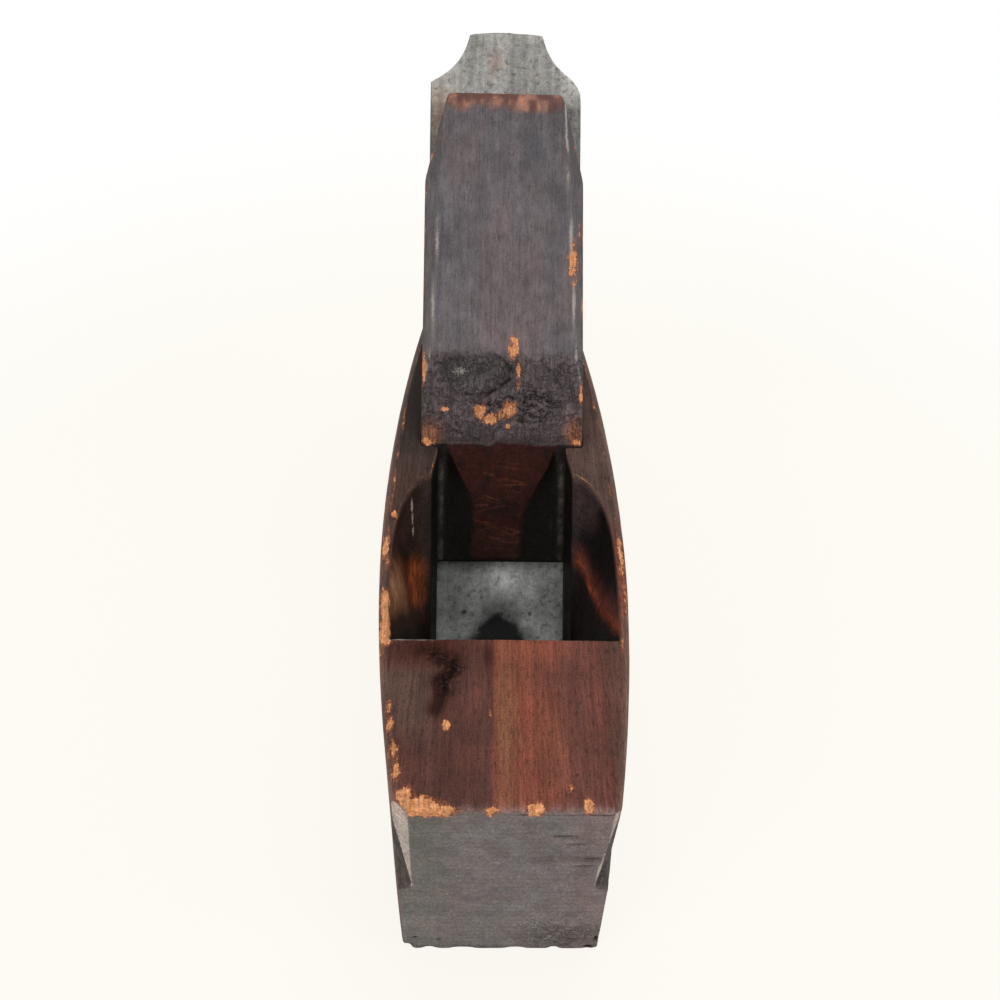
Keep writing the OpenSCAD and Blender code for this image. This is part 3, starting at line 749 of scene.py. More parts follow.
def stock_grid():
    """Rows of loops: out along the sole, up the sides, in over the top and down the throat."""
    ends = np.array([0.0, 0.3, 0.65, 1.1])
    side_z = np.concatenate([
        ends, np.array([1.9, 2.9]), np.linspace(3.7, 6.8, 8), np.linspace(8.2, 25.5, 10),
        np.array([26.8, 27.7]), np.linspace(SCOOP_LOW, 31.0, 7),
        np.linspace(31.6, 51.2, 32), np.linspace(52.4, 56.2, 3), TOP_Z - CHAMFER - ends[::-1],
    ])
    chamfer_z = TOP_Z - CHAMFER + np.array([0.35, 0.75, 1.25, 1.65, 2.0])
    down_z = np.concatenate([
        TOP_Z - ends, np.linspace(TOP_Z - 1.9, FOOT_H + 0.6, 37), np.array([FOOT_H]),
        np.linspace(FOOT_H - 1.0, WEAR_ROOM_H + 0.4, 7), np.array([WEAR_ROOM_H]),
        np.linspace(WEAR_ROOM_H - 0.8, 1.1, 5), np.array([0.5, 0.0]),
    ])
    heights = np.concatenate([side_z, chamfer_z])
    # The toe's right facet is cut shallower than its left one, and full only by its scoop
    outer = whole_loop(outer_half(heights, 0.48 + 0.52 * step(50.0, 34.0, heights)), outer_half(heights, 1.0))
    throat = whole_loop(throat_half(down_z))

    def at(loop, z):
        height = np.broadcast_to(np.asarray(z, float)[:, None, None], loop.shape[:2] + (1,))
        return np.concatenate([loop, height], -1)

    def across(start, stop, count, z):
        """Rows between two loops, at small set distances by both and then evenly between."""
        gap = np.linalg.norm(stop - start, axis=-1)
        near = [np.minimum(0.3 / gap, 0.1), np.minimum(0.65 / gap, 0.2), np.minimum(1.1 / gap, 0.3)]
        even = np.linspace(0.0, 1.0, count)[1:-1]
        middle = [near[-1] + (1.0 - 2.0 * near[-1]) * e for e in even]
        shares = near + middle + [1.0 - t for t in near[::-1]]
        plan = np.stack([start + (stop - start) * t[:, None] for t in shares])
        return at(plan, np.full(len(shares), z))

    up = at(outer, np.concatenate([side_z, chamfer_z]))
    down = at(throat, down_z)
    sole = across(throat[-1], outer[0], 9, 0.0)
    top = across(outer[-1], throat[0], 44, TOP_Z)
    rows = np.concatenate([sole, up, top, down])
    marks = {
        "sole_edge": len(sole),
        "chamfer_low": len(sole) + len(side_z) - 1,
        "chamfer_high": len(sole) + len(side_z) + len(chamfer_z) - 1,
        "throat_edge": len(sole) + len(side_z) + len(chamfer_z) + len(top),
    }
    return rows, marks, outer.shape[1]


def near_rows(rows, row, reach):
    """How near each point is to a row of its column, as 1 on the row falling to nothing."""
    distance = np.linalg.norm(rows - rows[row][None], axis=-1)
    return np.exp(-(distance / reach) ** 2)


def near_columns(rows, column, reach):
    distance = np.linalg.norm(rows - rows[:, column][:, None], axis=-1)
    return np.exp(-(distance / reach) ** 2)


def near_path(x, y, path, width):
    """How near points are to a path of straight stretches, as 1 on it falling to nothing."""
    best = np.full(x.shape, 1e9)
    for (ax, ay), (bx, by) in zip(path[:-1], path[1:]):
        dx, dy = bx - ax, by - ay
        t = np.clip(((x - ax) * dx + (y - ay) * dy) / (dx * dx + dy * dy), 0.0, 1.0)
        best = np.minimum(best, (x - ax - t * dx) ** 2 + (y - ay - t * dy) ** 2)
    return np.exp(-best / width ** 2)


def stock_arrises(rows, marks, count):
    """How near each point of the grid is to an arris that use has rounded."""
    row_index = np.arange(len(rows))[:, None]
    on_side = (row_index >= marks["sole_edge"]) & (row_index <= marks["chamfer_high"])
    in_throat = row_index > marks["throat_edge"]
    arris = np.zeros(rows.shape[:2])
    strengths = {"sole_edge": 1.0, "chamfer_low": 0.9, "chamfer_high": 1.0, "throat_edge": 0.5}
    for name, strength in strengths.items():
        arris = np.maximum(arris, strength * near_rows(rows, marks[name], 0.9))
    for column in (TOE_CORNER - 6, TOE_CORNER + 6, HEEL_CORNER - 6, HEEL_CORNER + 6):
        for c in (column, (count - column) % count):
            arris = np.maximum(arris, 0.55 * near_columns(rows, c, 0.6) * on_side)
    for column in (TOE_CORNER, HEEL_CORNER):
        low = rows[:, column, 2][:, None] < SCOOP_LOW
        for c in (column, (count - column) % count):
            arris = np.maximum(arris, near_columns(rows, c, 0.9) * on_side * low)
    for column in (EYE_END, ABUTMENT_CORNER, GROOVE_EDGE):
        for c in (column, (count - column) % count):
            arris = np.maximum(arris, 0.5 * near_columns(rows, c, 0.7) * in_throat)
    return arris.ravel(), np.repeat(in_throat.ravel(), rows.shape[1]).astype(float)


def build_stock(settings):
    """One closed skin: a ring of outlines over the outside, with arrises, chips and dents worked in."""
    rows, marks, count = stock_grid()
    quads = ring_quads(*rows.shape[:2])
    arris, in_throat = stock_arrises(rows, marks, count)
    flat = rows.reshape(-1, 3)
    scooped = np.zeros(len(flat))
    plan = flat[:, :2] * np.array([1.0, 1.0])
    plan[:, 0] = np.abs(plan[:, 0])
    for half, end_y, ahead in ((TOE_HALF, TOE_Y, -1.0), (HEEL_HALF, HEEL_Y, 1.0)):
        past, _ = scoop_depth(plan, flat[:, 2], half, end_y, ahead)
        inside = plan[:, 0] < side_x(flat[:, 1]) - 0.02
        near = step(0.75, 0.0, np.abs(past)) * inside * step(12.0, 10.5, np.abs(flat[:, 1] - end_y))
        scooped = np.maximum(scooped, near * step(28.6, 29.6, flat[:, 2]) * step(53.0, 51.0, flat[:, 2]))
    # The toe's low corners are knocked off by a slanting cut
    for side, depth in ((-1.0, 1.9), (1.0, 1.1)):
        face = np.array([0.62 * side, -0.35, -0.70])
        past = (flat - np.array([TOE_HALF * side, TOE_Y, 0.0])) @ face + depth
        past = past + 1.3 * layered_noise(flat, (1.9, 1.9, 1.9), 5)
        near = spot(flat, (TOE_HALF * side, TOE_Y, 0.0), (6.0, 6.0, 6.0)) > 0.2
        flat = flat - (np.maximum(past, 0.0) * near)[:, None] * face
    batter = 0.8 + 0.8 * layered_noise(flat, 6.0, 3)
    weight = np.clip(0.55 * settings.arris_wear * arris * np.clip(batter, 0.15, 1.2), 0.0, 0.62)
    low_corner = spot(np.abs(flat), (TOE_HALF, -TOE_Y, 0.0), (2.6, 3.0, 3.6)) * (flat[:, 1] < 0)
    weight = weight * (1.0 - 0.85 * low_corner)
    points = soften(flat, quads, weight, 8)
    normals = surface_normals(points, outward(points, quads))
    x, y, z = points[:, 0], points[:, 1], points[:, 2]

    wear = np.zeros(len(points))
    for cx, cy, rx, ry, strength in TOP_WEAR:
        wear = np.maximum(wear, strength * spot(points, (cx, cy, TOP_Z), (rx, ry, 2.2)))
    toe_edge = spot(points * np.array([0.0, 1.0, 1.0]), (0.0, TOE_Y, TOP_Z), (1.0, 1.1, 0.9))
    wear = np.maximum(wear, 0.16 * toe_edge)
    side_edge = arris * step(TOP_Z - 4.0, TOP_Z - 1.5, z) * (1.0 - in_throat)
    side_edge = side_edge * (0.30 + 0.45 * layered_noise(points, (7.0, 11.0, 7.0), 11)) * step(-60.0, -50.0, y)
    wear = np.maximum(wear, side_edge)
    rough_ground = layered_noise(points, (1.6, 2.2, 1.6), 21)
    dents = -(0.34 + 0.22 * rough_ground) * step(0.40, 0.85, wear + 0.22 * rough_ground)
    swell = 0.06 * noise(points, (26.0, 60.0, 26.0), 31) + 0.03 * layered_noise(points, (3.0, 16.0, 3.0), 41)
    drift = 0.5 * layered_noise(points, (1.5, 1.5, 1.5), 43)
    crack = near_path(x + drift, y - drift, CRACK, 0.38) * (z > TOP_Z - 1.0)
    stain = near_path(x + drift, y + drift, STAIN, 1.1) * (z > TOP_Z - 1.0)
    tide = near_path(x, y - drift, TIDE, 0.7) * (z > TOP_Z - 1.0)
    holes = np.zeros(len(points))
    for hx, hz, rx, rz in TOE_HOLES:
        holes = np.maximum(holes, spot(points, (hx, TOE_Y, hz), (rx, 1.0, rz)))
    relief = dents + swell * step(0.4, 2.0, z) - 0.35 * crack - 0.8 * holes
    relief = np.where(in_throat > 0.5, np.minimum(relief, 0.0), relief)
    scooped = scooped * step(0.58, 0.50, np.abs(normals[:, 1]))
    points = points + normals * relief[:, None]
    points = soften(points, quads, 0.5 * step(0.25, 0.6, wear), 4)
    points[:, 0] = np.clip(points[:, 0], -BELLY_HALF, BELLY_HALF)
    points[:, 2] = np.clip(points[:, 2], 0.0, TOP_Z)
    points[:, 1] = np.clip(points[:, 1], TOE_Y, HEEL_Y)

    ragged = 0.5 + 0.5 * layered_noise(points, (1.6, 4.0, 1.6), 71)
    soot_and_shade = np.maximum(crack * (0.25 + 0.75 * ragged), stain * (0.05 + 0.55 * ragged))
    soot_and_shade = np.maximum(soot_and_shade, 0.35 * tide * (0.3 + ragged))
    soot_and_shade = np.maximum(soot_and_shade, holes)
    under_edge = np.exp(-((z - TOP_Z + 1.2 + 0.3 * rough_ground) / 0.38) ** 2) * step(-0.75, -0.9, normals[:, 1])
    under_edge = under_edge * step(-0.5, 0.4, layered_noise(points, (7.0, 7.0, 7.0), 72))
    soot_and_shade = np.maximum(soot_and_shade, 0.62 * under_edge)
    # Pale specks on the toe, the painted highlight down the left cheek and a pale line along the throat's front edge
    dust_and_highlight = 0.50 * spot(points, (6.0, TOE_Y, 12.0), (6.0, 3.0, 6.0))
    dust_and_highlight = np.maximum(dust_and_highlight, glint(points) * in_throat)
    front_lip = spot(points * np.array([0.0, 1.0, 1.0]), (0.0, THROAT_Y, TOP_Z), (1.0, 0.45, 0.6))
    dust_and_highlight = np.maximum(dust_and_highlight, front_lip * (0.30 + 0.75 * step(-11.0, -20.0, x)))
    torn = np.maximum(0.5 * scooped, 0.45 * step(0.2, 0.7, wear))
    torn = np.maximum(torn, 0.8 * near_path(x, y, CRACK, 2.2) * (z > TOP_Z - 1.0))
    torn = np.maximum(torn, 0.55 * spot(points, (14.0, TOE_Y, 7.0), (9.0, 2.0, 7.0)))
    torn = np.maximum(torn, 0.35 * step(4.0, 0.5, z) * (y < TOE_Y + 2.0))
    tint = stock_tint(points, normals, in_throat)
    # The gouge cuts, leaning away from the light, are painted dark with shade, paler towards their low ends
    scoop_shade = blend(0.0 * tint + shade_of(52, 46, 43), shade_of(104, 96, 90), step(37.0, 30.0, z))
    tint = tint + (scoop_shade - tint) * (0.85 * scooped)[:, None]
    tint = blend(tint, shade_of(140, 112, 106), 0.85 * np.clip(toe_edge * (0.8 + 0.9 * rough_ground), 0.0, 1.0))
    calm = 0.25 * step(0.75, 0.92, -normals[:, 1]) + 0.10 * in_throat
    material = old_wood(
        "stock_wood", settings_color(settings.bare_wood), linear(11, 8, 7), linear(168, 154, 142), 0.50, 0.12,
    )
    make_piece("stock_body", "stock", "stock", points, quads, material, {
        "wear": wear, "tint": tint, "soot_and_shade": np.clip(soot_and_shade, 0.0, 1.0), "dust_and_highlight": dust_and_highlight, "torn": torn,
        "calm": calm,
    })


def settings_color(value):
    return (value[0], value[1], value[2], 1.0)


def blend(a, b, share):
    return a + (b - a) * share[:, None]


def shade_of(*screen):
    return np.array(linear(*screen)[:3])


def glint(points):
    """A painted highlight down the left cheek: a pale streak along one line up the bed."""
    s = (points[:, 1] - BED_Y + points[:, 2]) * S45
    off = (points[:, 2] - points[:, 1] + BED_Y) * S45
    along = step(44.0, 47.0, s) * step(56.5, 54.0, s) * (points[:, 0] < 0)
    return 1.9 * np.exp(-((off - 25.7) / 0.45) ** 2) * along * (0.6 + 0.8 * layered_noise(points, 1.6, 66))


def stock_tint(points, normals, in_throat):
    """The stain: red-brown above, purple at the left and behind; on the toe a grey-purple of painted sheen, on the
    corner facets a paler painted sheen, and inside the throat its painted light and shade.
    """
    x, y, z = points[:, 0], points[:, 1], points[:, 2]
    wobble = 0.9 * noise(points, (60.0, 9.0, 60.0), 51)
    mottle = layered_noise(points, (3.0, 14.0, 3.0), 52)
    end = np.abs(normals[:, 1])
    near_end = step(83.0, 86.0, np.abs(y))
    broad = layered_noise(points, (14.0, 34.0, 12.0), 53)
    color = np.broadcast_to(shade_of(112, 86, 78), points.shape).copy()
    color = blend(color, shade_of(88, 67, 60), step(0.0, 0.55, broad))
    color = blend(color, shade_of(84, 68, 62), 0.8 * step(16.0, 0.0, z + 6.0 * broad))
    color = blend(color, shade_of(124, 94, 82), 0.7 * step(44.0, 58.0, z + 8.0 * broad))
    # The toe's grey is painted sheen on its end grain, laid in patches
    on_toe = step(0.72, 0.88, end) * (y < 0)
    sheen_patches = layered_noise(points, (16.0, 9.0, 7.0), 56)
    color = blend(color, shade_of(120, 113, 111), on_toe)
    color = blend(color, shade_of(112, 98, 97), step(0.0, 0.6, sheen_patches + 0.3 * mottle) * on_toe)
    color = blend(color, shade_of(113, 109, 104), step(-6.0, -17.0, x + 8.0 * sheen_patches) * on_toe)
    color = blend(color, shade_of(128, 122, 118), 0.7 * step(24.0, 12.0, z + 9.0 * sheen_patches) * on_toe)
    color = blend(color, shade_of(130, 114, 111), 0.7 * step(8.0, 17.0, x + 6.0 * sheen_patches) * on_toe)
    color = blend(color, shade_of(96, 84, 82), 0.8 * step(0.25, 0.75, -sheen_patches) * on_toe)
    color = blend(color, shade_of(104, 90, 85), step(0.72, 0.88, end) * (y > 0))
    # The corner facets are painted paler: the sheen they catch
    facet = step(0.52, 0.64, end) * step(0.86, 0.78, end) * near_end
    facet = facet * step(27.6, 29.6, z) * step(0.5, 0.3, np.abs(normals[:, 2]))
    color = blend(color, shade_of(184, 170, 160), facet)
    color = blend(color, shade_of(132, 98, 74), step(-0.6, -0.9, normals[:, 2]))
    right_edge = spot(points, (30.6, -30.0, 58.6), (2.2, 16.0, 2.6))
    color = blend(color, shade_of(120, 56, 40), np.clip(1.5 * right_edge, 0.0, 1.0))
    up = step(0.55, 0.85, normals[:, 2])
    top = np.broadcast_to(shade_of(127, 72, 56), points.shape).copy()
    top = blend(top, shade_of(112, 72, 50), step(0.0, 0.7, mottle) * 0.6)
    top = blend(top, shade_of(100, 61, 52), step(8.0, 16.0, x + 4.0 * wobble))
    top = blend(top, shade_of(97, 66, 57), step(20.5, 24.0, x + wobble))
    top = blend(top, shade_of(126, 86, 63), 0.85 * spot(points, (0.0, -78.0, TOP_Z), (1.4, 19.0, 9.0)))
    top = blend(top, shade_of(93, 58, 50), step(-1.8, -3.6, x + 0.6 * wobble))
    top = blend(top, shade_of(79, 49, 43), step(-2.0, -3.4, x) * step(0.0, 0.7, mottle) * 0.7)
    patch = step(-12.0, -18.0, x + 3.0 * wobble) * step(-57.5, -60.5, y + wobble) * step(-82.0, -73.0, y)
    top = blend(top, shade_of(88, 67, 58), 0.85 * patch)
    front_left = spot(points, (-18.0, -53.5, TOP_Z), (10.0, 4.6, 9.0)) * (1.25 + 0.6 * mottle)
    top = blend(top, shade_of(66, 31, 22), np.clip(front_left, 0.0, 1.0))
    halo = near_path(x + wobble, y, CRACK[2:] + STAIN, 2.2) * (0.95 + 0.5 * mottle)
    top = blend(top, shade_of(50, 20, 12), np.clip(1.15 * halo, 0.0, 1.0))
    top = blend(top, shade_of(54, 21, 15), 0.9 * spot(points, (-3.9, -55.5, TOP_Z), (1.3, 4.4, 9.0)))
    behind = step(-50.0, -40.0, y)
    left = blend(np.broadcast_to(shade_of(74, 54, 48), points.shape), shade_of(52, 44, 38), step(5.0, 22.0, y))
    right = blend(np.broadcast_to(shade_of(114, 60, 48), points.shape), shade_of(84, 64, 58), step(-26.0, -8.0, y))
    rear = blend(left, right, step(-12.0, 14.0, x + 6.0 * wobble))
    top = top + (rear - top) * behind[:, None]
    up = up * step(TOP_Z - 4.0, TOP_Z - 2.4, z)
    # Low faces that lean upward, such as the ledges of the gouge cuts, are painted a grey that stands for the light
    # they catch
    color = blend(color, shade_of(96, 89, 84), step(0.2, 0.5, normals[:, 2]) * step(36.0, 32.0, z))
    color = color + (top - color) * up[:, None]
    # Inside the throat the colour is its painted light and shade
    return blend(color, throat_light_and_shade(points), in_throat * step(TOP_Z - 0.4, TOP_Z - 1.6, z))


def throat_glow(points):
    """Where light falls in the throat: along the left cheek's ember and the right cheek's streak."""
    x, y, z = points[:, 0], points[:, 1], points[:, 2]
    s = (y - BED_Y + z) * S45
    off = (z - (y - BED_Y)) * S45
    # A noise that makes the edges of the painted light ragged
    grime_and_shade = 0.8 * layered_noise(points, (5.0, 5.0, 5.0), 61)
    lit = step(41.5, 36.0, s + 1.6 * grime_and_shade) * step(25.0, 28.5, s + grime_and_shade)
    sparks = 0.6 + 0.4 * np.cos(3.4 * off + 4.0 * layered_noise(points, (2.5, 2.5, 2.5), 69))
    ember = np.exp(-((off - 26.8 + 2.4 * grime_and_shade) / 3.2) ** 2) * lit * sparks
    line = np.interp(off, [21.0, 23.0, 28.0, 38.8, 55.5], [39.0, 37.0, 31.7, 27.0, 23.8])
    above = s - line + 0.8 * grime_and_shade
    strands = 0.5 + 0.5 * np.cos(5.2 * above + 3.0 * layered_noise(points, (3.0, 3.0, 3.0), 68))
    streak = np.exp(-((above - 0.3) / 1.4) ** 2) * step(20.5, 22.5, off) * (0.25 + 0.75 * strands)
    return np.where(x < 0, ember, streak), above


def throat_light_and_shade(points):
    """The throat's painted light and shade: black shade near the abutments and under the rims, brown light where it
    reaches the cheeks.
    """
    x, y, z = points[:, 0], points[:, 1], points[:, 2]
    s = (y - BED_Y + z) * S45
    off = (z - (y - BED_Y)) * S45
    # A noise that makes the edges of the painted light and shade ragged
    grime_and_shade = 0.8 * layered_noise(points, (5.0, 5.0, 5.0), 61)
    # Painted black shade over the throat, with the cheeks' painted light and shade laid on it
    color = np.broadcast_to(shade_of(22, 19, 16), points.shape).copy()
    on_cheek = step(20.5, 22.5, off + 0.6 * grime_and_shade)
    # The left cheek: painted light from half-way down, and painted shade above and low down
    left = np.broadcast_to(shade_of(50, 35, 29), points.shape).copy()
    lit = step(41.5, 36.0, s + 1.6 * grime_and_shade) * step(25.0, 28.5, s + grime_and_shade)
    left = blend(left, shade_of(96, 50, 30), lit)
    olive = np.exp(-((s - 32.5 + 1.5 * grime_and_shade) / 5.0) ** 2) * step(32.0, 38.0, off + grime_and_shade)
    left = blend(left, shade_of(150, 109, 80), olive)
    glow, above = throat_glow(points)
    broken = 0.45 + 0.55 * step(-0.5, 0.5, layered_noise(points, (1.6, 1.6, 1.6), 64))
    left = blend(left, shade_of(176, 92, 44), 0.85 * glow * broken)
    left = blend(left, shade_of(48, 29, 21), step(26.5, 24.0, s + grime_and_shade))
    left = blend(left, shade_of(28, 20, 16), step(23.0, 20.5, s + grime_and_shade))
    # The right cheek: painted shade, crossed by a painted streak of light from its foot to the front corner
    right = np.broadcast_to(shade_of(23, 21, 20), points.shape).copy()
    right = blend(right, shade_of(34, 27, 25), step(0.0, -4.0, above))
    right = blend(right, shade_of(100, 52, 44), 0.9 * np.exp(-((above - 2.6) / 2.9) ** 2))
    right = blend(right, shade_of(182, 88, 52), 0.95 * glow * broken)
    right = blend(right, shade_of(56, 44, 42), step(45.0, 50.0, s) * step(31.0, 27.0, off))
    cheek = np.where((x < 0)[:, None], left, right)
    color = blend(color, cheek, on_cheek)
    fleck = layered_noise(points, (1.7, 1.7, 3.4), 67)
    return np.clip(color * (1.0 + 0.55 * fleck)[:, None], 0.0, 1.0)


# The wedge


def wedge_half(s):
    """Half-width of the wedge: straight, then narrowing to the head's rounded corners."""
    top = WEDGE_TOP_S
    narrow = np.interp(s, [top - 25.0, top - 3.2], [22.4, 16.4])
    into = np.clip((s - (top - 3.2)) / 3.2, 0.0, 1.0)
    return narrow - 3.2 * (1.0 - np.sqrt(1.0 - into ** 2))


def plane_through(a, b, c):
    """The height over x and s of the plane through three points, as its three coefficients."""
    rows = np.array([[p[0], p[1], 1.0] for p in (a, b, c)])
    return np.linalg.solve(rows, np.array([p[2] for p in (a, b, c)]))


def chamfer_height(ax, s):
    """Height of the plane that cuts the wedge's front corners, from nothing low down to 5.8 at the top."""
    low_s = CREASE_S - 12.5
    p = plane_through(
        (22.4, low_s, wedge_front(low_s) + 0.3),
        (16.6, WEDGE_TOP_S + 1.0, HEAD_FRONT),
        (22.4, WEDGE_TOP_S + 1.0, HEAD_FRONT - 5.8),
    )
    return p[0] * ax + p[1] * s + p[2]


def wedge_top_height(x, s):
    """Height of the wedge's front: the least of head, taper, corner planes and worn end, less the hollows."""
    ax = np.abs(x)
    height = np.minimum(HEAD_FRONT, wedge_front(s))
    round_s = np.clip((s - (WEDGE_TOP_S - 5.5)) / 5.5, 0.0, 1.0)
    height = np.where(s > WEDGE_TOP_S - 5.5, HEAD_FRONT - 5.5 + 5.5 * np.sqrt(1.0 - round_s ** 2), height)
    height = np.minimum(height, chamfer_height(ax, s))
    return height - hollow_depth(x, s)


# The ridge left between the two pared hollows: half-widths up the bed, left and right
RIDGE_S = (38.7, 45.0, 51.5, 57.5, 65.0, 68.5, 70.2)
RIDGE_LEFT = (7.8, 7.4, 7.2, 8.4, 12.6, 14.0, 14.4)
RIDGE_RIGHT = (4.4, 4.6, 5.4, 8.4, 12.9, 14.0, 14.4)
HOLLOW_OUT = 15.0


def ridge_half(s, left):
    """Half-width of the ridge, eased back to 8 above the hollows so that the grid stays even."""
    low = np.where(left, np.interp(s, RIDGE_S, RIDGE_LEFT), np.interp(s, RIDGE_S, RIDGE_RIGHT))
    return np.where(s > RIDGE_S[-1], 14.4 - 6.4 * step(RIDGE_S[-1], 92.0, s), low)


def hollow_depth(x, s):
    """Depth of the hollows pared beside the ridge: rounded, deepest by their outer wall."""
    ax = np.abs(x)
    inner = ridge_half(s, x < 0)
    across = np.clip((ax - inner) / (HOLLOW_OUT - inner), 0.0, 1.0)
    deepest = np.interp(s, [38.7, 45.0, 55.0, 62.0, 66.0, 69.0, 70.2], [0.95, 1.5, 1.9, 1.8, 1.3, 0.5, 0.0])
    return deepest * (1.0 - (1.0 - across) ** 1.6) * (ax < HOLLOW_OUT + 1e-6)


# Bare spots on the wedge: centre x and distance up the bed, the two radii, and how bare
WEDGE_WEAR = (
    (19.2, 122.0, 1.5, 7.0, 0.85),
    (21.2, 131.0, 0.8, 4.0, 0.6),
    (3.0, 97.8, 1.6, 4.0, 0.78),
    (4.4, 90.6, 0.7, 4.6, 0.70),
    (-6.2, 80.2, 2.2, 2.4, 0.92),
    (-3.4, 78.4, 2.6, 1.7, 0.84),
    (-0.6, 79.2, 2.0, 1.6, 0.74),
    (2.0, 81.3, 1.9, 2.7, 0.90),
    (1.7, 76.4, 0.8, 1.3, 0.75),
    (-12.0, 91.2, 1.9, 1.1, 0.25),
    (-15.9, 81.0, 1.0, 0.8, 0.9),
    (-21.9, 91.5, 0.7, 4.5, 1.1),
    (21.9, 85.5, 0.7, 2.8, 1.0),
    (-20.6, 71.9, 2.4, 1.2, 0.9),
    (20.9, 72.2, 1.8, 1.2, 0.7),
)

# Cracks of the bruised wood under the crease, as paths of x and distance up the bed
BRUISE_CRACKS = (
    ((-20.5, 76.5), (-15.0, 74.8), (-9.0, 73.6), (-6.0, 72.0)),
    ((-16.0, 96.0), (-8.0, 97.0), (-1.0, 96.0), (2.2, 93.0), (2.0, 89.0), (-1.0, 87.0), (-4.0, 85.0)),
    ((4.5, 78.0), (7.5, 77.0), (10.5, 77.6), (13.0, 80.5)),
    ((6.5, 86.5), (9.0, 85.5), (11.0, 84.0), (14.0, 83.0)),
    ((1.5, 84.5), (4.5, 83.6), (8.0, 82.0), (10.5, 80.6)),
    ((-10.0, 83.0), (-5.0, 81.8), (-1.0, 82.6), (1.0, 84.0)),
)


def wedge_stations():
    """Distances up the bed of the wedge's rows, close together at the foot, the crease and the end."""
    foot, top = WEDGE_FOOT_S, WEDGE_TOP_S
    turn = np.linspace(0.0, np.pi / 2, 15)
    return np.concatenate([
        foot + np.array([0.0, 0.25, 0.55, 1.0]),
        np.linspace(foot + 1.7, foot + 31.3, 86),
        np.linspace(foot + 31.8, CREASE_S - 1.4, 64),
        CREASE_S + np.array([-0.9, -0.45, 0.0, 0.45, 0.9]),
        np.linspace(CREASE_S + 1.6, top - 6.4, 92),
        top - 5.5 + 5.5 * np.sin(turn),
    ])


def wedge_columns(s, half):
    """Half of the columns at each station: over the ridge, the hollow, then the margin to the side."""
    margin = np.array([0.02, 0.10, 0.22, 0.36, 0.50, 0.62, 0.73, 0.82, 0.89, 0.94, 0.975, 1.0])
    grids = []
    for left in (True, False):
        inner = ridge_half(s, left)[:, None]
        wall = np.minimum(HOLLOW_OUT, 0.92 * half)[:, None]
        ridge = inner * np.linspace(0.0, 1.0, 31)[None]
        hollow = inner + (wall - inner) * np.linspace(0.0, 1.0, 13)[None, 1:]
        rim = wall + (half[:, None] - wall) * margin[None]
        grids.append(np.concatenate([ridge, hollow, rim], 1))
    return np.concatenate([-grids[0][:, :0:-1], grids[1]], 1)


def bruise(x, s):
    """The knocked zone under the crease: its share, the line of its cracks and its rough relief."""
    zone = step(CREASE_S + 1.5, CREASE_S - 2.0, s) * step(WEDGE_FOOT_S + 31.8, WEDGE_FOOT_S + 35.0, s)
    plan = np.stack([x, s, 0 * x], -1)
    shift = 0.7 * layered_noise(plan, (2.2, 2.2, 2.2), 26)
    cracks = np.zeros(x.shape)
    for path in BRUISE_CRACKS:
        cracks = np.maximum(cracks, near_path(x + shift, s + shift, path, 0.42))
    away = ((x + 8.5) / 10.5) ** 2 + ((s - 91.5) / 6.0) ** 2 + 0.35 * shift
    dent = step(1.10, 0.88, away) * (1.15 - 0.5 * away)
    lip = np.exp(-((away - 1.08) / 0.16) ** 2) * step(-14.0, -6.0, x - 0.6 * (s - 91.5))
    torn = spot(plan, (8.5, 82.0, 0.0), (8.0, 5.5, 1.0))
    torn = np.maximum(torn, 0.8 * spot(plan, (-2.0, 81.0, 0.0), (7.0, 3.5, 1.0)))
    torn = np.maximum(torn, 0.30)
    warped = plan + 0.8 * np.stack([shift, -shift, 0 * shift], -1)
    ridged = 1.0 - np.abs(layered_noise(warped, (4.2, 1.5, 3.0), 27, 3)) * 2.0
    relief = -0.85 * dent + 0.30 * lip - 0.35 * cracks + 0.45 * torn * (ridged - 0.5)
    relief = relief + 0.20 * layered_noise(plan, (2.4, 1.8, 3.0), 28)
    ruin = np.clip(0.45 + 1.1 * (torn - 0.30) + 0.6 * lip, 0.0, 1.0)
    return zone, 0.9 * cracks * zone, relief * zone, dent * zone, ruin * zone


def scratches(x, s):
    """Fine arcs rubbed across the ridge: each a shallow curve over x, open at both ends."""
    rng = np.random.default_rng(12)
    total = np.zeros(x.shape)
    for _ in range(26):
        start, slope, bend = rng.uniform(42.0, 68.0), rng.uniform(-0.45, 0.10), rng.uniform(-0.03, 0.03)
        middle, reach = rng.uniform(-6.0, 6.0), rng.uniform(2.0, 6.0)
        away = s - start - slope * x - bend * x * x
        line = np.exp(-(away / 0.20) ** 2) * step(reach, 0.4 * reach, np.abs(x - middle))
        total = np.maximum(total, rng.uniform(0.3, 1.0) * line)
    return total


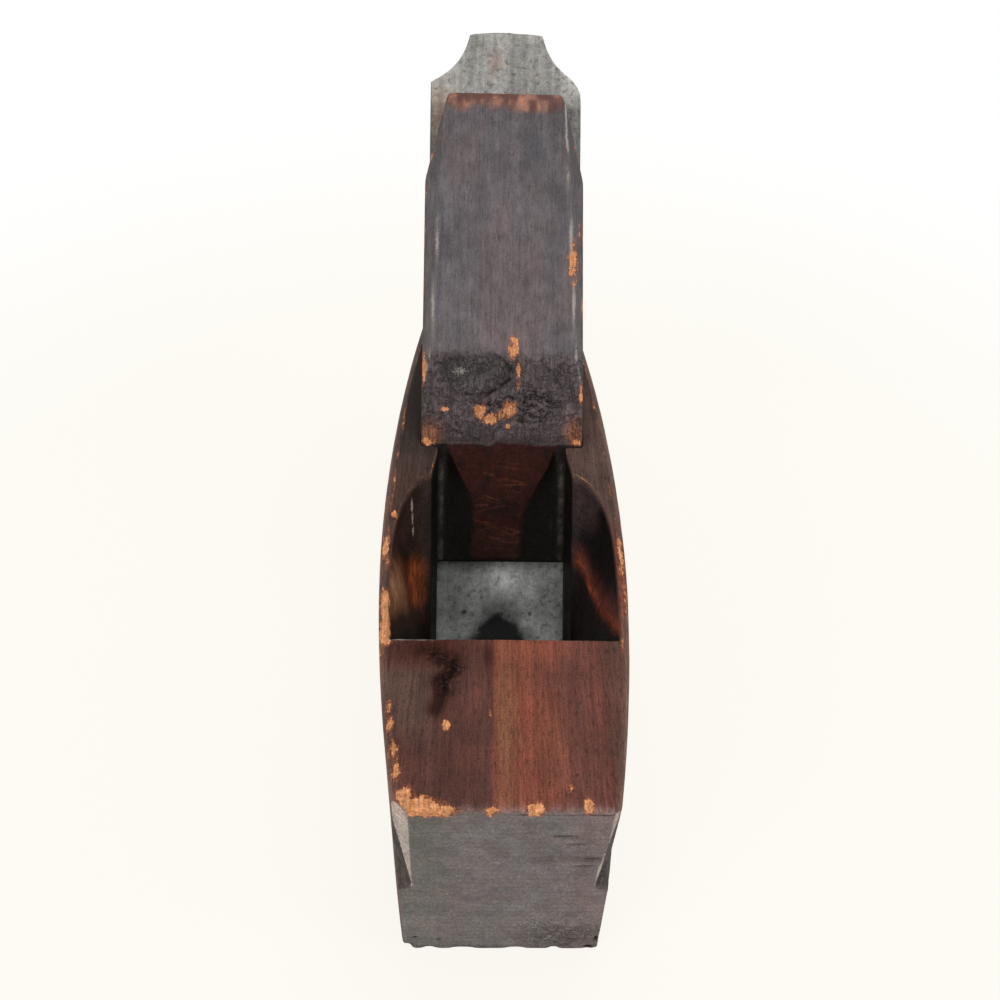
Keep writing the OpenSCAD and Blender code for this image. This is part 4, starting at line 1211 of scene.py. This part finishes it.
def build_wedge(settings):
    """A slab on a grid of stations and columns: its front a height field, its back flat with a groove."""
    stations = wedge_stations()
    half = np.where(stations < CREASE_S, 22.4, wedge_half(stations))
    x = wedge_columns(stations, half)
    s = np.broadcast_to(stations[:, None], x.shape)
    high = wedge_top_height(x, s)
    groove = step(8.95, 8.75, np.abs(x)) * step(CAP_TOP_S + 0.2, CAP_TOP_S, s)
    quads, border = slab_quads(x.shape[0], x.shape[1], 9)
    high_points = np.stack([x, s, high], -1).reshape(-1, 3)
    low_points = np.stack([x, s, WEDGE_BACK + groove], -1).reshape(-1, 3)
    depth = high_points[border, 2] - low_points[border, 2]
    near = [np.minimum(0.3 / depth, 0.1), np.minimum(0.7 / depth, 0.2), np.minimum(1.3 / depth, 0.3)]
    shares = np.stack(near + [0.4 + 0 * depth, 0.5 + 0 * depth, 0.6 + 0 * depth] + [1 - t for t in near[::-1]])
    wall = high_points[border][None] + (low_points[border] - high_points[border])[None] * shares[..., None]
    points = np.concatenate([high_points, low_points, wall.reshape(-1, 3)])

    px, ps, off = points[:, 0], points[:, 1], points[:, 2]
    ax = np.abs(px)
    side = np.where(ps < CREASE_S, 22.4, wedge_half(ps))
    front_height = wedge_top_height(px, ps)
    on_front = np.exp(-((front_height - off) / 0.9) ** 2)
    on_back = np.exp(-((off - WEDGE_BACK) / 0.7) ** 2)
    rim = np.exp(-((side - ax) / 0.8) ** 2)
    end = np.exp(-((ps - WEDGE_FOOT_S) / 0.7) ** 2)
    arris = np.clip(rim + end, 0.0, 1.0) * np.clip(on_front + on_back, 0.0, 1.0)
    crease = 0.8 * np.exp(-((ps - CREASE_S) / 1.1) ** 2) * (off > WEDGE_BACK + 3.0)
    corner_line = chamfer_height(ax, ps) - np.minimum(HEAD_FRONT, wedge_front(ps))
    on_chamfer = step(0.2, -0.6, corner_line) * on_front
    corner_line = np.exp(-(corner_line / 0.32) ** 2) * on_front * step(86.0, 92.0, ps)
    pared_edge = np.exp(-((ax - HOLLOW_OUT) / 0.35) ** 2) * (ps < WEDGE_FOOT_S + 31.6) * on_front
    weight = np.maximum(np.maximum(arris, crease), np.maximum(0.4 * pared_edge, 0.6 * corner_line))
    softened = soften(points, quads, np.clip(0.5 * settings.arris_wear * weight, 0.0, 0.6), 8)
    normals = surface_normals(softened, outward(softened, quads))

    wear = np.zeros(len(points))
    place = np.stack([px, ps, 0 * ax], -1)
    facing = np.clip(on_front + rim * (off > WEDGE_BACK + 3.0), 0.0, 1.0)
    for cx, cs, rx, rs, strength in WEDGE_WEAR:
        wear = np.maximum(wear, strength * spot(place, (cx, cs, 0.0), (rx, rs, 1.0)) * facing)
    strip = step(WEDGE_TOP_S - 7.2, WEDGE_TOP_S - 4.2, ps + 2.2 * layered_noise(place, (4.0, 3.0, 3.0), 29))
    smear = layered_noise(place, (2.6, 5.0, 3.0), 30)
    wear = np.maximum(wear, (0.21 + 0.15 * smear) * strip * on_front)
    wear = np.maximum(wear, arris * (0.26 + 0.36 * layered_noise(points, (5.0, 11.0, 5.0), 13)))
    wear = wear * step(WEDGE_FOOT_S + 1.0, WEDGE_FOOT_S + 3.0, ps)
    zone, cracks, rough, dent, ruin = bruise(px, ps)
    chipped = layered_noise(points, (1.5, 1.8, 1.5), 23)
    relief = 0.04 * noise(points, (9.0, 30.0, 9.0), 33) + rough * on_front
    relief = relief - (0.30 + 0.15 * chipped) * step(0.45, 0.95, wear + 0.2 * chipped) * facing
    softened = softened + normals * relief[:, None]
    softened[:, 0] = np.clip(softened[:, 0], -22.4, 22.4)
    softened[:, 1] = np.clip(softened[:, 1], WEDGE_FOOT_S, WEDGE_TOP_S)
    softened[:, 2] = np.clip(softened[:, 2], WEDGE_BACK, HEAD_FRONT)

    color = np.broadcast_to(shade_of(104, 98, 100), points.shape).copy()
    color = blend(color, shade_of(97, 85, 86), zone)
    color = blend(color, shade_of(84, 80, 78), 0.8 * dent)
    bluish = layered_noise(points, (9.0, 22.0, 9.0), 39)
    color = blend(color, shade_of(96, 94, 98), step(0.0, 0.6, bluish) * (1.0 - zone))
    color = blend(color, shade_of(112, 99, 101), step(0.0, 0.6, -bluish) * (1.0 - zone) * 0.8)
    color = blend(color, shade_of(99, 94, 95), 0.7 * on_chamfer)
    color = color * (1.0 + 0.26 * layered_noise(points, (2.2, 2.8, 2.2), 40))[:, None]
    color = color * (1.0 - 0.10 * step(140.0, 160.0, ps))[:, None]
    end_grain = blend(0.0 * color + shade_of(104, 70, 62), shade_of(172, 124, 106), step(-0.3, 0.6, smear))
    color = color + (end_grain - color) * strip[:, None]
    color = blend(color, shade_of(86, 70, 62), step(0.5, 0.9, arris) * 0.5)
    corner = np.maximum(
        spot(place, (-20.0, 73.4, 0.0), (3.0, 3.6, 1.0)), spot(place, (20.4, 74.2, 0.0), (2.5, 3.6, 1.0)),
    )
    color = blend(color, shade_of(150, 98, 72), np.clip(1.3 * corner, 0.0, 0.9) * on_front)
    # A painted shadow line along the low edge of the knocked zone, over the pared end
    undercut_shadow = np.exp(-((ps - WEDGE_FOOT_S - 33.6) / 1.1) ** 2) * on_front
    color = blend(color, shade_of(72, 55, 54), 0.75 * undercut_shadow * (1.0 - corner))
    ragged_s = ps + 0.7 * layered_noise(place, (4.0, 2.0, 2.0), 37)
    pared = step(WEDGE_FOOT_S + 33.4, WEDGE_FOOT_S + 32.4, ragged_s)
    ridge = np.broadcast_to(shade_of(56, 21, 13), points.shape)
    ridge = blend(ridge, shade_of(32, 17, 13), spot(place, (-0.5, 54.0, 0.0), (6.0, 3.0, 1.0)))
    ridge = blend(ridge, shade_of(34, 15, 10), step(0.0, 0.7, layered_noise(place, (2.0, 3.0, 1.0), 38)))
    ridge = blend(ridge, shade_of(54, 31, 26), 0.8 * step(50.0, 45.0, ps))
    ridge = blend(ridge, shade_of(104, 56, 38), 0.75 * scratches(px, ps))
    color = color + (ridge - color) * pared[:, None]
    # The wedge's lowest end is painted near-black: the shadow line at its foot
    color = blend(color, shade_of(22, 14, 12), step(WEDGE_FOOT_S + 1.6, WEDGE_FOOT_S + 0.3, ps))
    torn = np.maximum(ruin, 0.22 * pared) * on_front
    torn = np.maximum(torn, 0.4 * step(0.3, 0.8, wear))
    # The pared hollows and the strip beyond them are painted near-black: a dark stain deepened by painted shade
    into = step(0.02, 0.35, hollow_depth(px, ps)) * on_front
    beyond = step(HOLLOW_OUT - 0.1, HOLLOW_OUT + 0.2, ax) * pared
    color = blend(color, shade_of(25, 21, 18), np.maximum(into, beyond * on_front))
    soot_and_shade = np.maximum(0.6 * cracks * on_front, 0.35 * into)
    # Scuffs and painted highlights along the corner chamfers, fainter at the head's left
    faint = 1.0 - 0.7 * step(136.0, 148.0, ps) * (px < 0)
    dust_and_highlight = corner_line * faint * (1.0 + 0.8 * layered_noise(points, (1.5, 6.0, 1.5), 35))
    # A pale line painted along each narrow margin beside the hollows: a painted highlight
    margin = np.exp(-((ax - 17.0) / 0.52) ** 2) * step(69.0, 63.0, ps) * pared * on_front
    margin = margin * (0.72 + 1.1 * layered_noise(points, (1.4, 2.0, 1.4), 36))
    color = blend(color, shade_of(104, 100, 90), np.clip(margin, 0.0, 1.0))
    dust_and_highlight = np.maximum(dust_and_highlight, 0.8 * spot(place, (-12.0, 91.2, 0.0), (3.0, 1.5, 1.0)) * on_front)
    # The same lines painted pale: scuffs together with painted highlights
    pale = corner_line * faint * (0.75 + 0.8 * layered_noise(points, (1.2, 2.0, 1.2), 34))
    color = blend(color, shade_of(158, 148, 141), np.clip(0.8 * pale, 0.0, 1.0))
    material = old_wood(
        "wedge_wood", settings_color(settings.bare_wood), linear(12, 10, 10), linear(168, 160, 154),
        0.50, 0.14, tilt=np.pi / 4, figure=0.45, ring=0.0,
    )
    make_piece("wedge_body", "wedge", "wedge", bed_to_world(softened), quads, material, {
        "wear": wear, "tint": color, "soot_and_shade": soot_and_shade, "dust_and_highlight": dust_and_highlight, "torn": torn,
        "calm": 0.38 * on_front * (1.0 - zone),
    })


# The irons


def plate_rows(inner, outer, shares, low, high, wall_rows=4):
    """Loops over a holed plate: out over its front, down its edge, back under it and up the hole."""
    front = inner[None] + (outer - inner)[None] * shares[:, None, None]
    ease = np.linspace(0.0, 1.0, wall_rows + 2)[1:-1][:, None]

    def lift(plan, height):
        return np.concatenate([plan, height[..., None]], -1)

    top = lift(front, high(front[..., 0], front[..., 1]))
    under = lift(front[::-1], low(front[::-1, :, 0], front[::-1, :, 1]))
    edge = top[-1][None] + (under[0] - top[-1])[None] * ease[..., None]
    hole = under[-1][None] + (top[0] - under[-1])[None] * ease[..., None]
    return np.concatenate([top, edge, under, hole]), len(front), wall_rows


def iron_outline():
    """Half of the cutting iron from its edge up: side, hollow shoulder and curved top."""
    half, top_half = 22.05, 10.7
    corner_s = IRON_TOP_S - 0.6
    bottom = np.stack([np.linspace(0.0, half, 13), np.full(13, EDGE_S)], -1)
    side_s = np.concatenate([EDGE_S + np.array([1.5, 3.5, 5.2, 6.87]), np.linspace(EDGE_S + 9.0, corner_s - 14.4, 62)])
    side = np.stack([np.full(len(side_s), half), side_s], -1)
    t = np.linspace(0.0, 1.0, 21)[1:, None]
    low, run = np.array([half, corner_s - 14.4]), np.array([top_half - half, 14.4])
    shoulder = low + run * t + 4 * 2.4 * t * (1 - t) / np.hypot(*run) * np.array([-run[1], run[0]])
    t = np.linspace(1.0, 0.0, 13)[1:, None]
    top = np.concatenate([top_half * t, IRON_TOP_S - 0.6 * t ** 2], -1)
    return np.concatenate([bottom, side, shoulder, top])


def slot_outline(count):
    """Half of the long slot from its lower end to the top of its round hole, in count points."""
    half, hole = 5.25, 9.7
    turn = np.linspace(-np.pi / 2, 0.0, 15)
    low = np.stack([half * np.cos(turn), SLOT_END_S + half + half * np.sin(turn)], -1)
    start = -np.arccos(half / hole)
    hole_n = 59
    straight_n = count - len(low) - hole_n
    side_s = np.linspace(SLOT_END_S + half, SLOT_HOLE_S + hole * np.sin(start), straight_n + 1)[1:]
    side = np.stack([np.full(straight_n, half), side_s], -1)
    turn = np.linspace(start, np.pi / 2, hole_n + 1)[1:]
    top = np.stack([hole * np.cos(turn), SLOT_HOLE_S + hole * np.sin(turn)], -1)
    return np.concatenate([low, side, top])


def build_cutting_iron(settings):
    outline = iron_outline()
    inner = whole_loop(slot_outline(len(outline)))
    outer = whole_loop(outline)
    shares = np.concatenate([[0.0, 0.03, 0.07], np.linspace(0.12, 0.88, 20), [0.93, 0.97, 0.99, 1.0]])

    def low(x, s):
        return np.interp(s, [EDGE_S, EDGE_S + 6.87], [IRON_FRONT - 0.12, IRON_BACK])

    def high(x, s):
        return np.full_like(x, IRON_FRONT)

    rows, front_n, wall_n = plate_rows(inner, outer, shares, low, high)
    quads = ring_quads(*rows.shape[:2])
    points = rows.reshape(-1, 3)
    weight = np.zeros(rows.shape[:2])
    for row in (front_n - 1, front_n + wall_n, 0, 2 * front_n + wall_n - 1):
        weight = np.maximum(weight, near_rows(rows, row, 0.45))
    weight = weight.ravel() * step(EDGE_S, EDGE_S + 6.0, points[:, 1])
    points = soften(points, quads, 0.3 * weight, 3)
    # A chip off the right shoulder's corner, and waves along the struck top
    chip = spot(points, (22.4, IRON_TOP_S - 14.8, 2.0), (2.2, 2.4, 9.0))
    points[:, 0] -= 1.1 * chip
    points[:, 1] -= 0.8 * chip
    up = step(IRON_TOP_S - 2.0, IRON_TOP_S, points[:, 1])
    points[:, 1] -= up * np.abs(0.35 * layered_noise(points, (5.0, 50.0, 50.0), 81))
    points[:, 0] += IRON_SHIFT
    px, ps = points[:, 0], points[:, 1]
    bloom = 0.7 * spot(points, (-19.0, 169.0, 3.5), (6.0, 14.0, 40.0))
    bloom = np.maximum(bloom, 0.6 * spot(points, (-2.5, 184.0, 3.5), (3.0, 6.0, 40.0)))
    bloom = np.maximum(bloom, 0.35 * step(0.3, 0.8, layered_noise(points, (12.0, 20.0, 12.0), 91)))
    soot_and_shade = 0.75 * np.exp(-((IRON_TOP_S - ps) / 0.5) ** 2)
    soot_and_shade = np.maximum(soot_and_shade, 0.45 * step(0.9, 0.0, 22.05 - np.abs(px - IRON_SHIFT)))
    color = np.broadcast_to(shade_of(163, 160, 154), points.shape).copy()
    color = blend(color, shade_of(108, 103, 101), step(166.0, 156.0, ps))
    color = blend(color, shade_of(120, 117, 114), step(WEDGE_TOP_S + 2.5, WEDGE_TOP_S, ps))
    material = old_steel(
        "iron_steel", linear(66, 62, 60), linear(150, 120, 98), 0.52, tilt=np.pi / 4, metallic=0.3, streak=0.8, pits=0.6,
    )
    make_piece(
        "cutting_iron_blade", "cutting_iron", "cutting_iron",
        bed_to_world(points), quads, material, {"tint": color, "bloom": bloom, "soot_and_shade": soot_and_shade}, sharp=50.0,
    )


def cap_outline():
    """Half of the cap iron from its edge up: side, cut corner and straight top."""
    half, cut = 22.05, 4.0
    bottom = np.stack([np.linspace(0.0, half, 25), np.full(25, CAP_EDGE_S)], -1)
    side_s = np.concatenate([np.linspace(CAP_EDGE_S, CAP_EDGE_S + 27.0, 31)[1:], np.linspace(CAP_EDGE_S + 29.0, CAP_TOP_S - cut, 30)])
    side = np.stack([np.full(len(side_s), half), side_s], -1)
    t = np.linspace(0.0, 1.0, 7)[1:]
    corner = np.stack([half - cut * t, CAP_TOP_S - cut + cut * t], -1)
    top = np.stack([np.linspace(half - cut, 0.0, 19)[1:], np.full(18, CAP_TOP_S)], -1)
    return np.concatenate([bottom, side, corner, top])


def build_cap_iron(settings):
    outline = cap_outline()
    turn = np.linspace(-np.pi / 2, np.pi / 2, len(outline))
    hole = np.stack([6.02 * np.cos(turn), SCREW_S + 6.02 * np.sin(turn)], -1)
    hole[[0, -1], 0] = 0.0
    shares = np.concatenate([[0.0, 0.02, 0.05], np.linspace(0.1, 0.55, 10), np.linspace(0.58, 0.985, 34), [1.0]])
    bend = 26.0

    def rise(s):
        t = np.clip((s - CAP_EDGE_S) / bend, 0.0, 1.0)
        return 2.6 * np.sin(np.pi * t) * (1.0 - t ** 5)

    def low(x, s):
        return CAP_BACK + rise(s)

    def high(x, s):
        thin = np.clip((s - CAP_EDGE_S) / 7.5, 0.0, 1.0)
        return low(x, s) + 0.35 + (CAP_T - 0.35) * thin

    rows, front_n, wall_n = plate_rows(whole_loop(hole), whole_loop(outline), shares, low, high)
    quads = ring_quads(*rows.shape[:2])
    points = rows.reshape(-1, 3)
    weight = np.zeros(rows.shape[:2])
    for row in (front_n - 1, front_n + wall_n):
        weight = np.maximum(weight, near_rows(rows, row, 0.6))
    weight = weight.ravel() * step(CAP_EDGE_S + 1.0, CAP_EDGE_S + 8.0, points[:, 1])
    points = soften(points, quads, 0.4 * weight, 4)
    points[:, 0] += IRON_SHIFT
    px, ps = points[:, 0], points[:, 1]
    # A dark blob of painted shade low in the middle of the cap iron, with ragged edges
    shadow_half = np.interp(ps, [14.0, 17.0, 19.5, 22.0, 25.5], [9.0, 7.0, 5.6, 3.4, 0.8])
    ragged = 1.1 * layered_noise(points, (2.2, 2.2, 2.2), 95)
    soot_and_shade = step(4.4, -3.4, np.abs(px + 0.3) - shadow_half + 1.6 * ragged) * step(28.0, 21.0, ps)
    for cx, cs, radius in ((-1.8, 27.6, 0.9), (8.6, 24.0, 0.8), (-10.0, 24.3, 1.0), (-8.2, 28.6, 0.7)):
        soot_and_shade = np.maximum(soot_and_shade, 0.75 * spot(points, (cx, cs, 6.4), (radius, radius, 9.0)))
    color = np.broadcast_to(shade_of(172, 173, 169), points.shape).copy()
    color = blend(color, shade_of(136, 138, 133), step(-4.0, -12.0, px))
    # A painted highlight near the middle of the cap iron
    color = blend(color, shade_of(250, 252, 246), spot(points, (1.4, 35.0, 6.4), (5.0, 5.5, 9.0)))
    smoky = layered_noise(points, (3.0, 3.0, 3.0), 98)
    color = color * (1.0 + 0.22 * smoky)[:, None]
    # A broader painted darkening round the blob
    blob_shade = 0.62 * step(7.0, -1.0, np.abs(px + 0.3) - shadow_half + 1.5 * smoky) * step(33.0, 24.0, ps)
    color = blend(color, shade_of(60, 62, 60), blob_shade)
    color = np.clip(color, 0.0, 1.0)
    bloom = 0.2 * step(0.2, 0.8, layered_noise(points, (10.0, 12.0, 10.0), 97))
    material = old_steel(
        "cap_steel", linear(2, 3, 3), linear(120, 106, 92), 0.50, tilt=np.pi / 4, metallic=0.1, streak=0.4,
        gloss=0.18, pits=0.5,
    )
    make_piece(
        "cap_iron_plate", "cap_iron", "cap_iron",
        bed_to_world(points), quads, material, {"tint": color, "bloom": bloom, "soot_and_shade": soot_and_shade}, sharp=50.0,
    )


def turned_rows(profile, centre, columns=96):
    """A closed profile of radius and height, carried round an axis that stands off the bed."""
    turn = np.linspace(0.0, 2 * np.pi, columns, endpoint=False)
    radius, height = profile[:, 0][:, None], profile[:, 1][:, None]
    x = centre[0] + radius * np.cos(turn)
    s = centre[1] + radius * np.sin(turn)
    return np.stack([x, s, np.broadcast_to(height, x.shape)], -1)


def build_cap_nut(settings):
    profile = np.array([
        (4.05, CAP_BACK + 0.2), (4.3, CAP_BACK), (5.7, CAP_BACK), (6.0, CAP_BACK + 0.3),
        (6.0, CAP_FRONT), (7.4, CAP_FRONT), (7.6, CAP_FRONT + 0.15), (7.55, CAP_FRONT + 0.45),
        (7.2, CAP_FRONT + 0.66), (6.6, CAP_FRONT + 0.7), (4.5, CAP_FRONT + 0.7), (4.05, CAP_FRONT + 0.45),
    ])
    rows = turned_rows(profile, (IRON_SHIFT, SCREW_S))
    quads = ring_quads(*rows.shape[:2])
    points = rows.reshape(-1, 3)
    zero = np.zeros(len(points))
    color = np.broadcast_to(shade_of(176, 146, 92), points.shape)
    material = old_steel("nut_brass", linear(70, 54, 34), linear(120, 92, 52), 0.42, metallic=0.85)
    make_piece(
        "cap_nut_flange", "cap_iron", "cap_nut",
        bed_to_world(points), quads, material, {"tint": color, "bloom": zero + 0.2, "soot_and_shade": zero},
    )


def build_cap_screw(settings):
    """A softened copy of the screw's own solid, with a finish of its own."""
    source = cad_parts["cap_screw"]
    mesh = source.data.copy()
    mesh.name = "cap_screw_turned"
    piece = bpy.data.objects.new("cap_screw_turned", mesh)
    bpy.context.scene.collection.objects.link(piece)
    layer = mesh.attributes.new("tint", "FLOAT_COLOR", "POINT")
    layer.data.foreach_set("color", np.tile(linear(124, 121, 116), len(mesh.vertices)).astype(np.float32))
    mesh.materials.clear()
    mesh.materials.append(old_steel("screw_steel", linear(38, 36, 35), linear(96, 76, 62), 0.45, metallic=0.5))
    weld = piece.modifiers.new("Weld", "WELD")
    weld.merge_threshold = 0.00001
    bevel = piece.modifiers.new("Bevel", "BEVEL")
    bevel.width = 0.00035
    bevel.segments = 2
    bevel.limit_method = "ANGLE"
    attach(piece, "cap_screw")
    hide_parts("cap_screw")


# The stage

CAMERA_AT = (-6.73, -205.61, 243.03)
CAMERA_TURN = (1.717, 42.15, 1.809)
CAMERA_FOCUS = 1039.75


def build_camera():
    yaw, pitch, roll = np.radians(CAMERA_TURN)
    ahead = np.array([np.sin(yaw) * np.cos(pitch), np.cos(yaw) * np.cos(pitch), -np.sin(pitch)])
    right = np.array([np.cos(yaw), -np.sin(yaw), 0.0])
    up = np.cross(right, ahead)
    right, up = np.cos(roll) * right + np.sin(roll) * up, np.cos(roll) * up - np.sin(roll) * right
    data = bpy.data.cameras.new("photo_camera")
    data.sensor_fit = "HORIZONTAL"
    data.sensor_width = 36.0
    data.lens = CAMERA_FOCUS * 36.0 / 1000.0
    data.clip_start = 0.01
    camera = bpy.data.objects.new("photo_camera", data)
    bpy.context.scene.collection.objects.link(camera)
    turn = Matrix((right, up, -ahead)).transposed().to_4x4()
    turn.translation = Vector(np.array(CAMERA_AT) * MM)
    camera.matrix_world = turn
    bpy.context.scene.camera = camera


def add_lamp(name, place, target, size, power, color=(1.0, 1.0, 1.0)):
    data = bpy.data.lights.new(name, "AREA")
    data.shape = "DISK"
    data.size = size
    data.energy = power
    data.color = color
    lamp = bpy.data.objects.new(name, data)
    bpy.context.scene.collection.objects.link(lamp)
    aim = Vector(target) - Vector(place)
    turn = aim.to_track_quat("-Z", "Y").to_matrix().to_4x4()
    turn.translation = Vector(place)
    lamp.matrix_world = turn


def build_floor():
    """A pale floor: shaded near the plane and beneath it, its glow painted warmer near the plane as a pale shadow, and
    running out to plain white.
    """
    mesh = bpy.data.meshes.new("floor")
    size = 4.0
    mesh.from_pydata([(-size, -size, 0), (size, -size, 0), (size, size, 0), (-size, size, 0)], [], [(0, 1, 2, 3)])
    floor = bpy.data.objects.new("floor", mesh)
    bpy.context.scene.collection.objects.link(floor)
    s = Shading("floor_white")
    matt = s.tree.nodes.new("ShaderNodeBsdfDiffuse")
    matt.inputs["Color"].default_value = (0.95, 0.93, 0.89, 1.0)
    glow = s.tree.nodes.new("ShaderNodeEmission")
    apart = s.tree.nodes.new("ShaderNodeSeparateXYZ")
    s.put(apart.inputs[0], s.place)
    across, along = (s.math("ABSOLUTE", apart.outputs[k]) for k in (0, 1))
    reach = s.math("SQRT", s.math("MULTIPLY_ADD", across, across, s.math("MULTIPLY", along, along)))
    away = s.between(reach, 0.14, 0.42)
    s.put(glow.inputs["Color"], s.mix(away, (1.0, 0.98, 0.91, 1.0), (1.0, 1.0, 1.0, 1.0)))
    outside = s.math("MAXIMUM", s.math("GREATER_THAN", across, 0.022), s.math("GREATER_THAN", along, 0.090))
    share = s.math("MULTIPLY", outside, s.between(away, 0.0, 1.0, 0.90, 1.0))
    path = s.tree.nodes.new("ShaderNodeLightPath")
    share = s.math("MULTIPLY", share, path.outputs["Is Camera Ray"])
    mixer = s.tree.nodes.new("ShaderNodeMixShader")
    for socket, value in zip(mixer.inputs, (share, matt.outputs[0], glow.outputs[0])):
        s.put(socket, value)
    s.put(s.output.inputs[0], mixer.outputs[0])
    s.tree.nodes.remove(s.shader)
    mesh.materials.append(s.material)


def build_world(level):
    world = bpy.data.worlds.new("studio")
    bpy.context.scene.world = world
    world.use_nodes = True
    tree = world.node_tree
    tree.nodes.clear()
    output = tree.nodes.new("ShaderNodeOutputWorld")
    seen = tree.nodes.new("ShaderNodeBackground")
    seen.inputs["Color"].default_value = (1.0, 1.0, 1.0, 1.0)
    seen.inputs["Strength"].default_value = 1.0
    lit = tree.nodes.new("ShaderNodeBackground")
    lit.inputs["Color"].default_value = (0.97, 0.985, 1.0, 1.0)
    lit.inputs["Strength"].default_value = level
    path = tree.nodes.new("ShaderNodeLightPath")
    mixer = tree.nodes.new("ShaderNodeMixShader")
    tree.links.new(path.outputs["Is Camera Ray"], mixer.inputs[0])
    tree.links.new(lit.outputs[0], mixer.inputs[1])
    tree.links.new(seen.outputs[0], mixer.inputs[2])
    tree.links.new(mixer.outputs[0], output.inputs["Surface"])


def build_stage(settings):
    build_camera()
    build_floor()
    build_world(settings.sky_level)
    add_lamp("lamp_above", (0.10, 0.25, 0.95), (0.0, 0.0, 0.03), 0.7, 3.4)
    add_lamp("lamp_front_left", (-0.75, -0.75, 0.55), (0.0, -0.03, 0.04), 0.6, 4.0)
    add_lamp("lamp_right", (0.85, -0.30, 0.60), (0.0, 0.0, 0.04), 0.6, 2.2)
    bpy.context.scene.view_settings.view_transform = "Standard"


# The add-on


class PlaneSettings(bpy.types.PropertyGroup):
    """What someone may want to change on the dressed plane."""

    arris_wear: bpy.props.FloatProperty(
        name="Arris wear", description="How far the arrises are rounded by use",
        default=1.0, min=0.0, max=1.1, subtype="FACTOR",
    )
    bare_wood: bpy.props.FloatVectorProperty(
        name="Bare wood", description="Colour of the wood where the stain has worn off",
        default=linear(240, 170, 120)[:3], min=0.0, max=1.0, size=3, subtype="COLOR",
    )
    sky_level: bpy.props.FloatProperty(
        name="Sky level", description="Strength of the even light from all round",
        default=0.40, min=0.0, max=2.0,
    )


class PieceOperator:
    bl_options = {"REGISTER", "UNDO"}

    def execute(self, context):
        self.build(context.scene.plane_settings)
        return {"FINISHED"}


class PLANE_OT_stage(PieceOperator, bpy.types.Operator):
    """Sets up the floor, the lamps and the camera"""

    bl_idname = "plane.stage"
    bl_label = "Stage"
    build = staticmethod(build_stage)


class PLANE_OT_stock(PieceOperator, bpy.types.Operator):
    """Builds the stock with its throat, chamfers and worn arrises"""

    bl_idname = "plane.stock"
    bl_label = "Stock"
    build = staticmethod(build_stock)


class PLANE_OT_wedge(PieceOperator, bpy.types.Operator):
    """Builds the wedge with its pared lower end"""

    bl_idname = "plane.wedge"
    bl_label = "Wedge"
    build = staticmethod(build_wedge)


class PLANE_OT_cutting_iron(PieceOperator, bpy.types.Operator):
    """Builds the slotted cutting iron"""

    bl_idname = "plane.cutting_iron"
    bl_label = "Cutting iron"
    build = staticmethod(build_cutting_iron)


class PLANE_OT_cap_iron(PieceOperator, bpy.types.Operator):
    """Builds the bent cap iron"""

    bl_idname = "plane.cap_iron"
    bl_label = "Cap iron"
    build = staticmethod(build_cap_iron)


class PLANE_OT_cap_nut(PieceOperator, bpy.types.Operator):
    """Builds the cap iron's nut"""

    bl_idname = "plane.cap_nut"
    bl_label = "Cap iron nut"
    build = staticmethod(build_cap_nut)


class PLANE_OT_cap_screw(PieceOperator, bpy.types.Operator):
    """Builds the cap iron's screw"""

    bl_idname = "plane.cap_screw"
    bl_label = "Cap iron screw"
    build = staticmethod(build_cap_screw)


STEPS = (
    PLANE_OT_stage,
    PLANE_OT_stock,
    PLANE_OT_wedge,
    PLANE_OT_cutting_iron,
    PLANE_OT_cap_iron,
    PLANE_OT_cap_nut,
    PLANE_OT_cap_screw,
)


class PLANE_PT_panel(bpy.types.Panel):
    """Lists the pieces in the sidebar"""

    bl_idname = "PLANE_PT_panel"
    bl_label = "Smoothing plane"
    bl_space_type = "VIEW_3D"
    bl_region_type = "UI"
    bl_category = "Plane"

    def draw(self, context):
        settings = context.scene.plane_settings
        for name in ("arris_wear", "bare_wood", "sky_level"):
            self.layout.prop(settings, name)
        for operator in STEPS:
            self.layout.operator(operator.bl_idname)


def register():
    bpy.utils.register_class(PlaneSettings)
    for operator in STEPS:
        bpy.utils.register_class(operator)
    bpy.utils.register_class(PLANE_PT_panel)
    bpy.types.Scene.plane_settings = bpy.props.PointerProperty(type=PlaneSettings)


def unregister():
    del bpy.types.Scene.plane_settings
    bpy.utils.unregister_class(PLANE_PT_panel)
    for operator in reversed(STEPS):
        bpy.utils.unregister_class(operator)
    bpy.utils.unregister_class(PlaneSettings)


def main():
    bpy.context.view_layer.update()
    register()
    for operator in STEPS:
        group, name = operator.bl_idname.split(".")
        getattr(getattr(bpy.ops, group), name)()


if __name__ == "__main__":
    main()
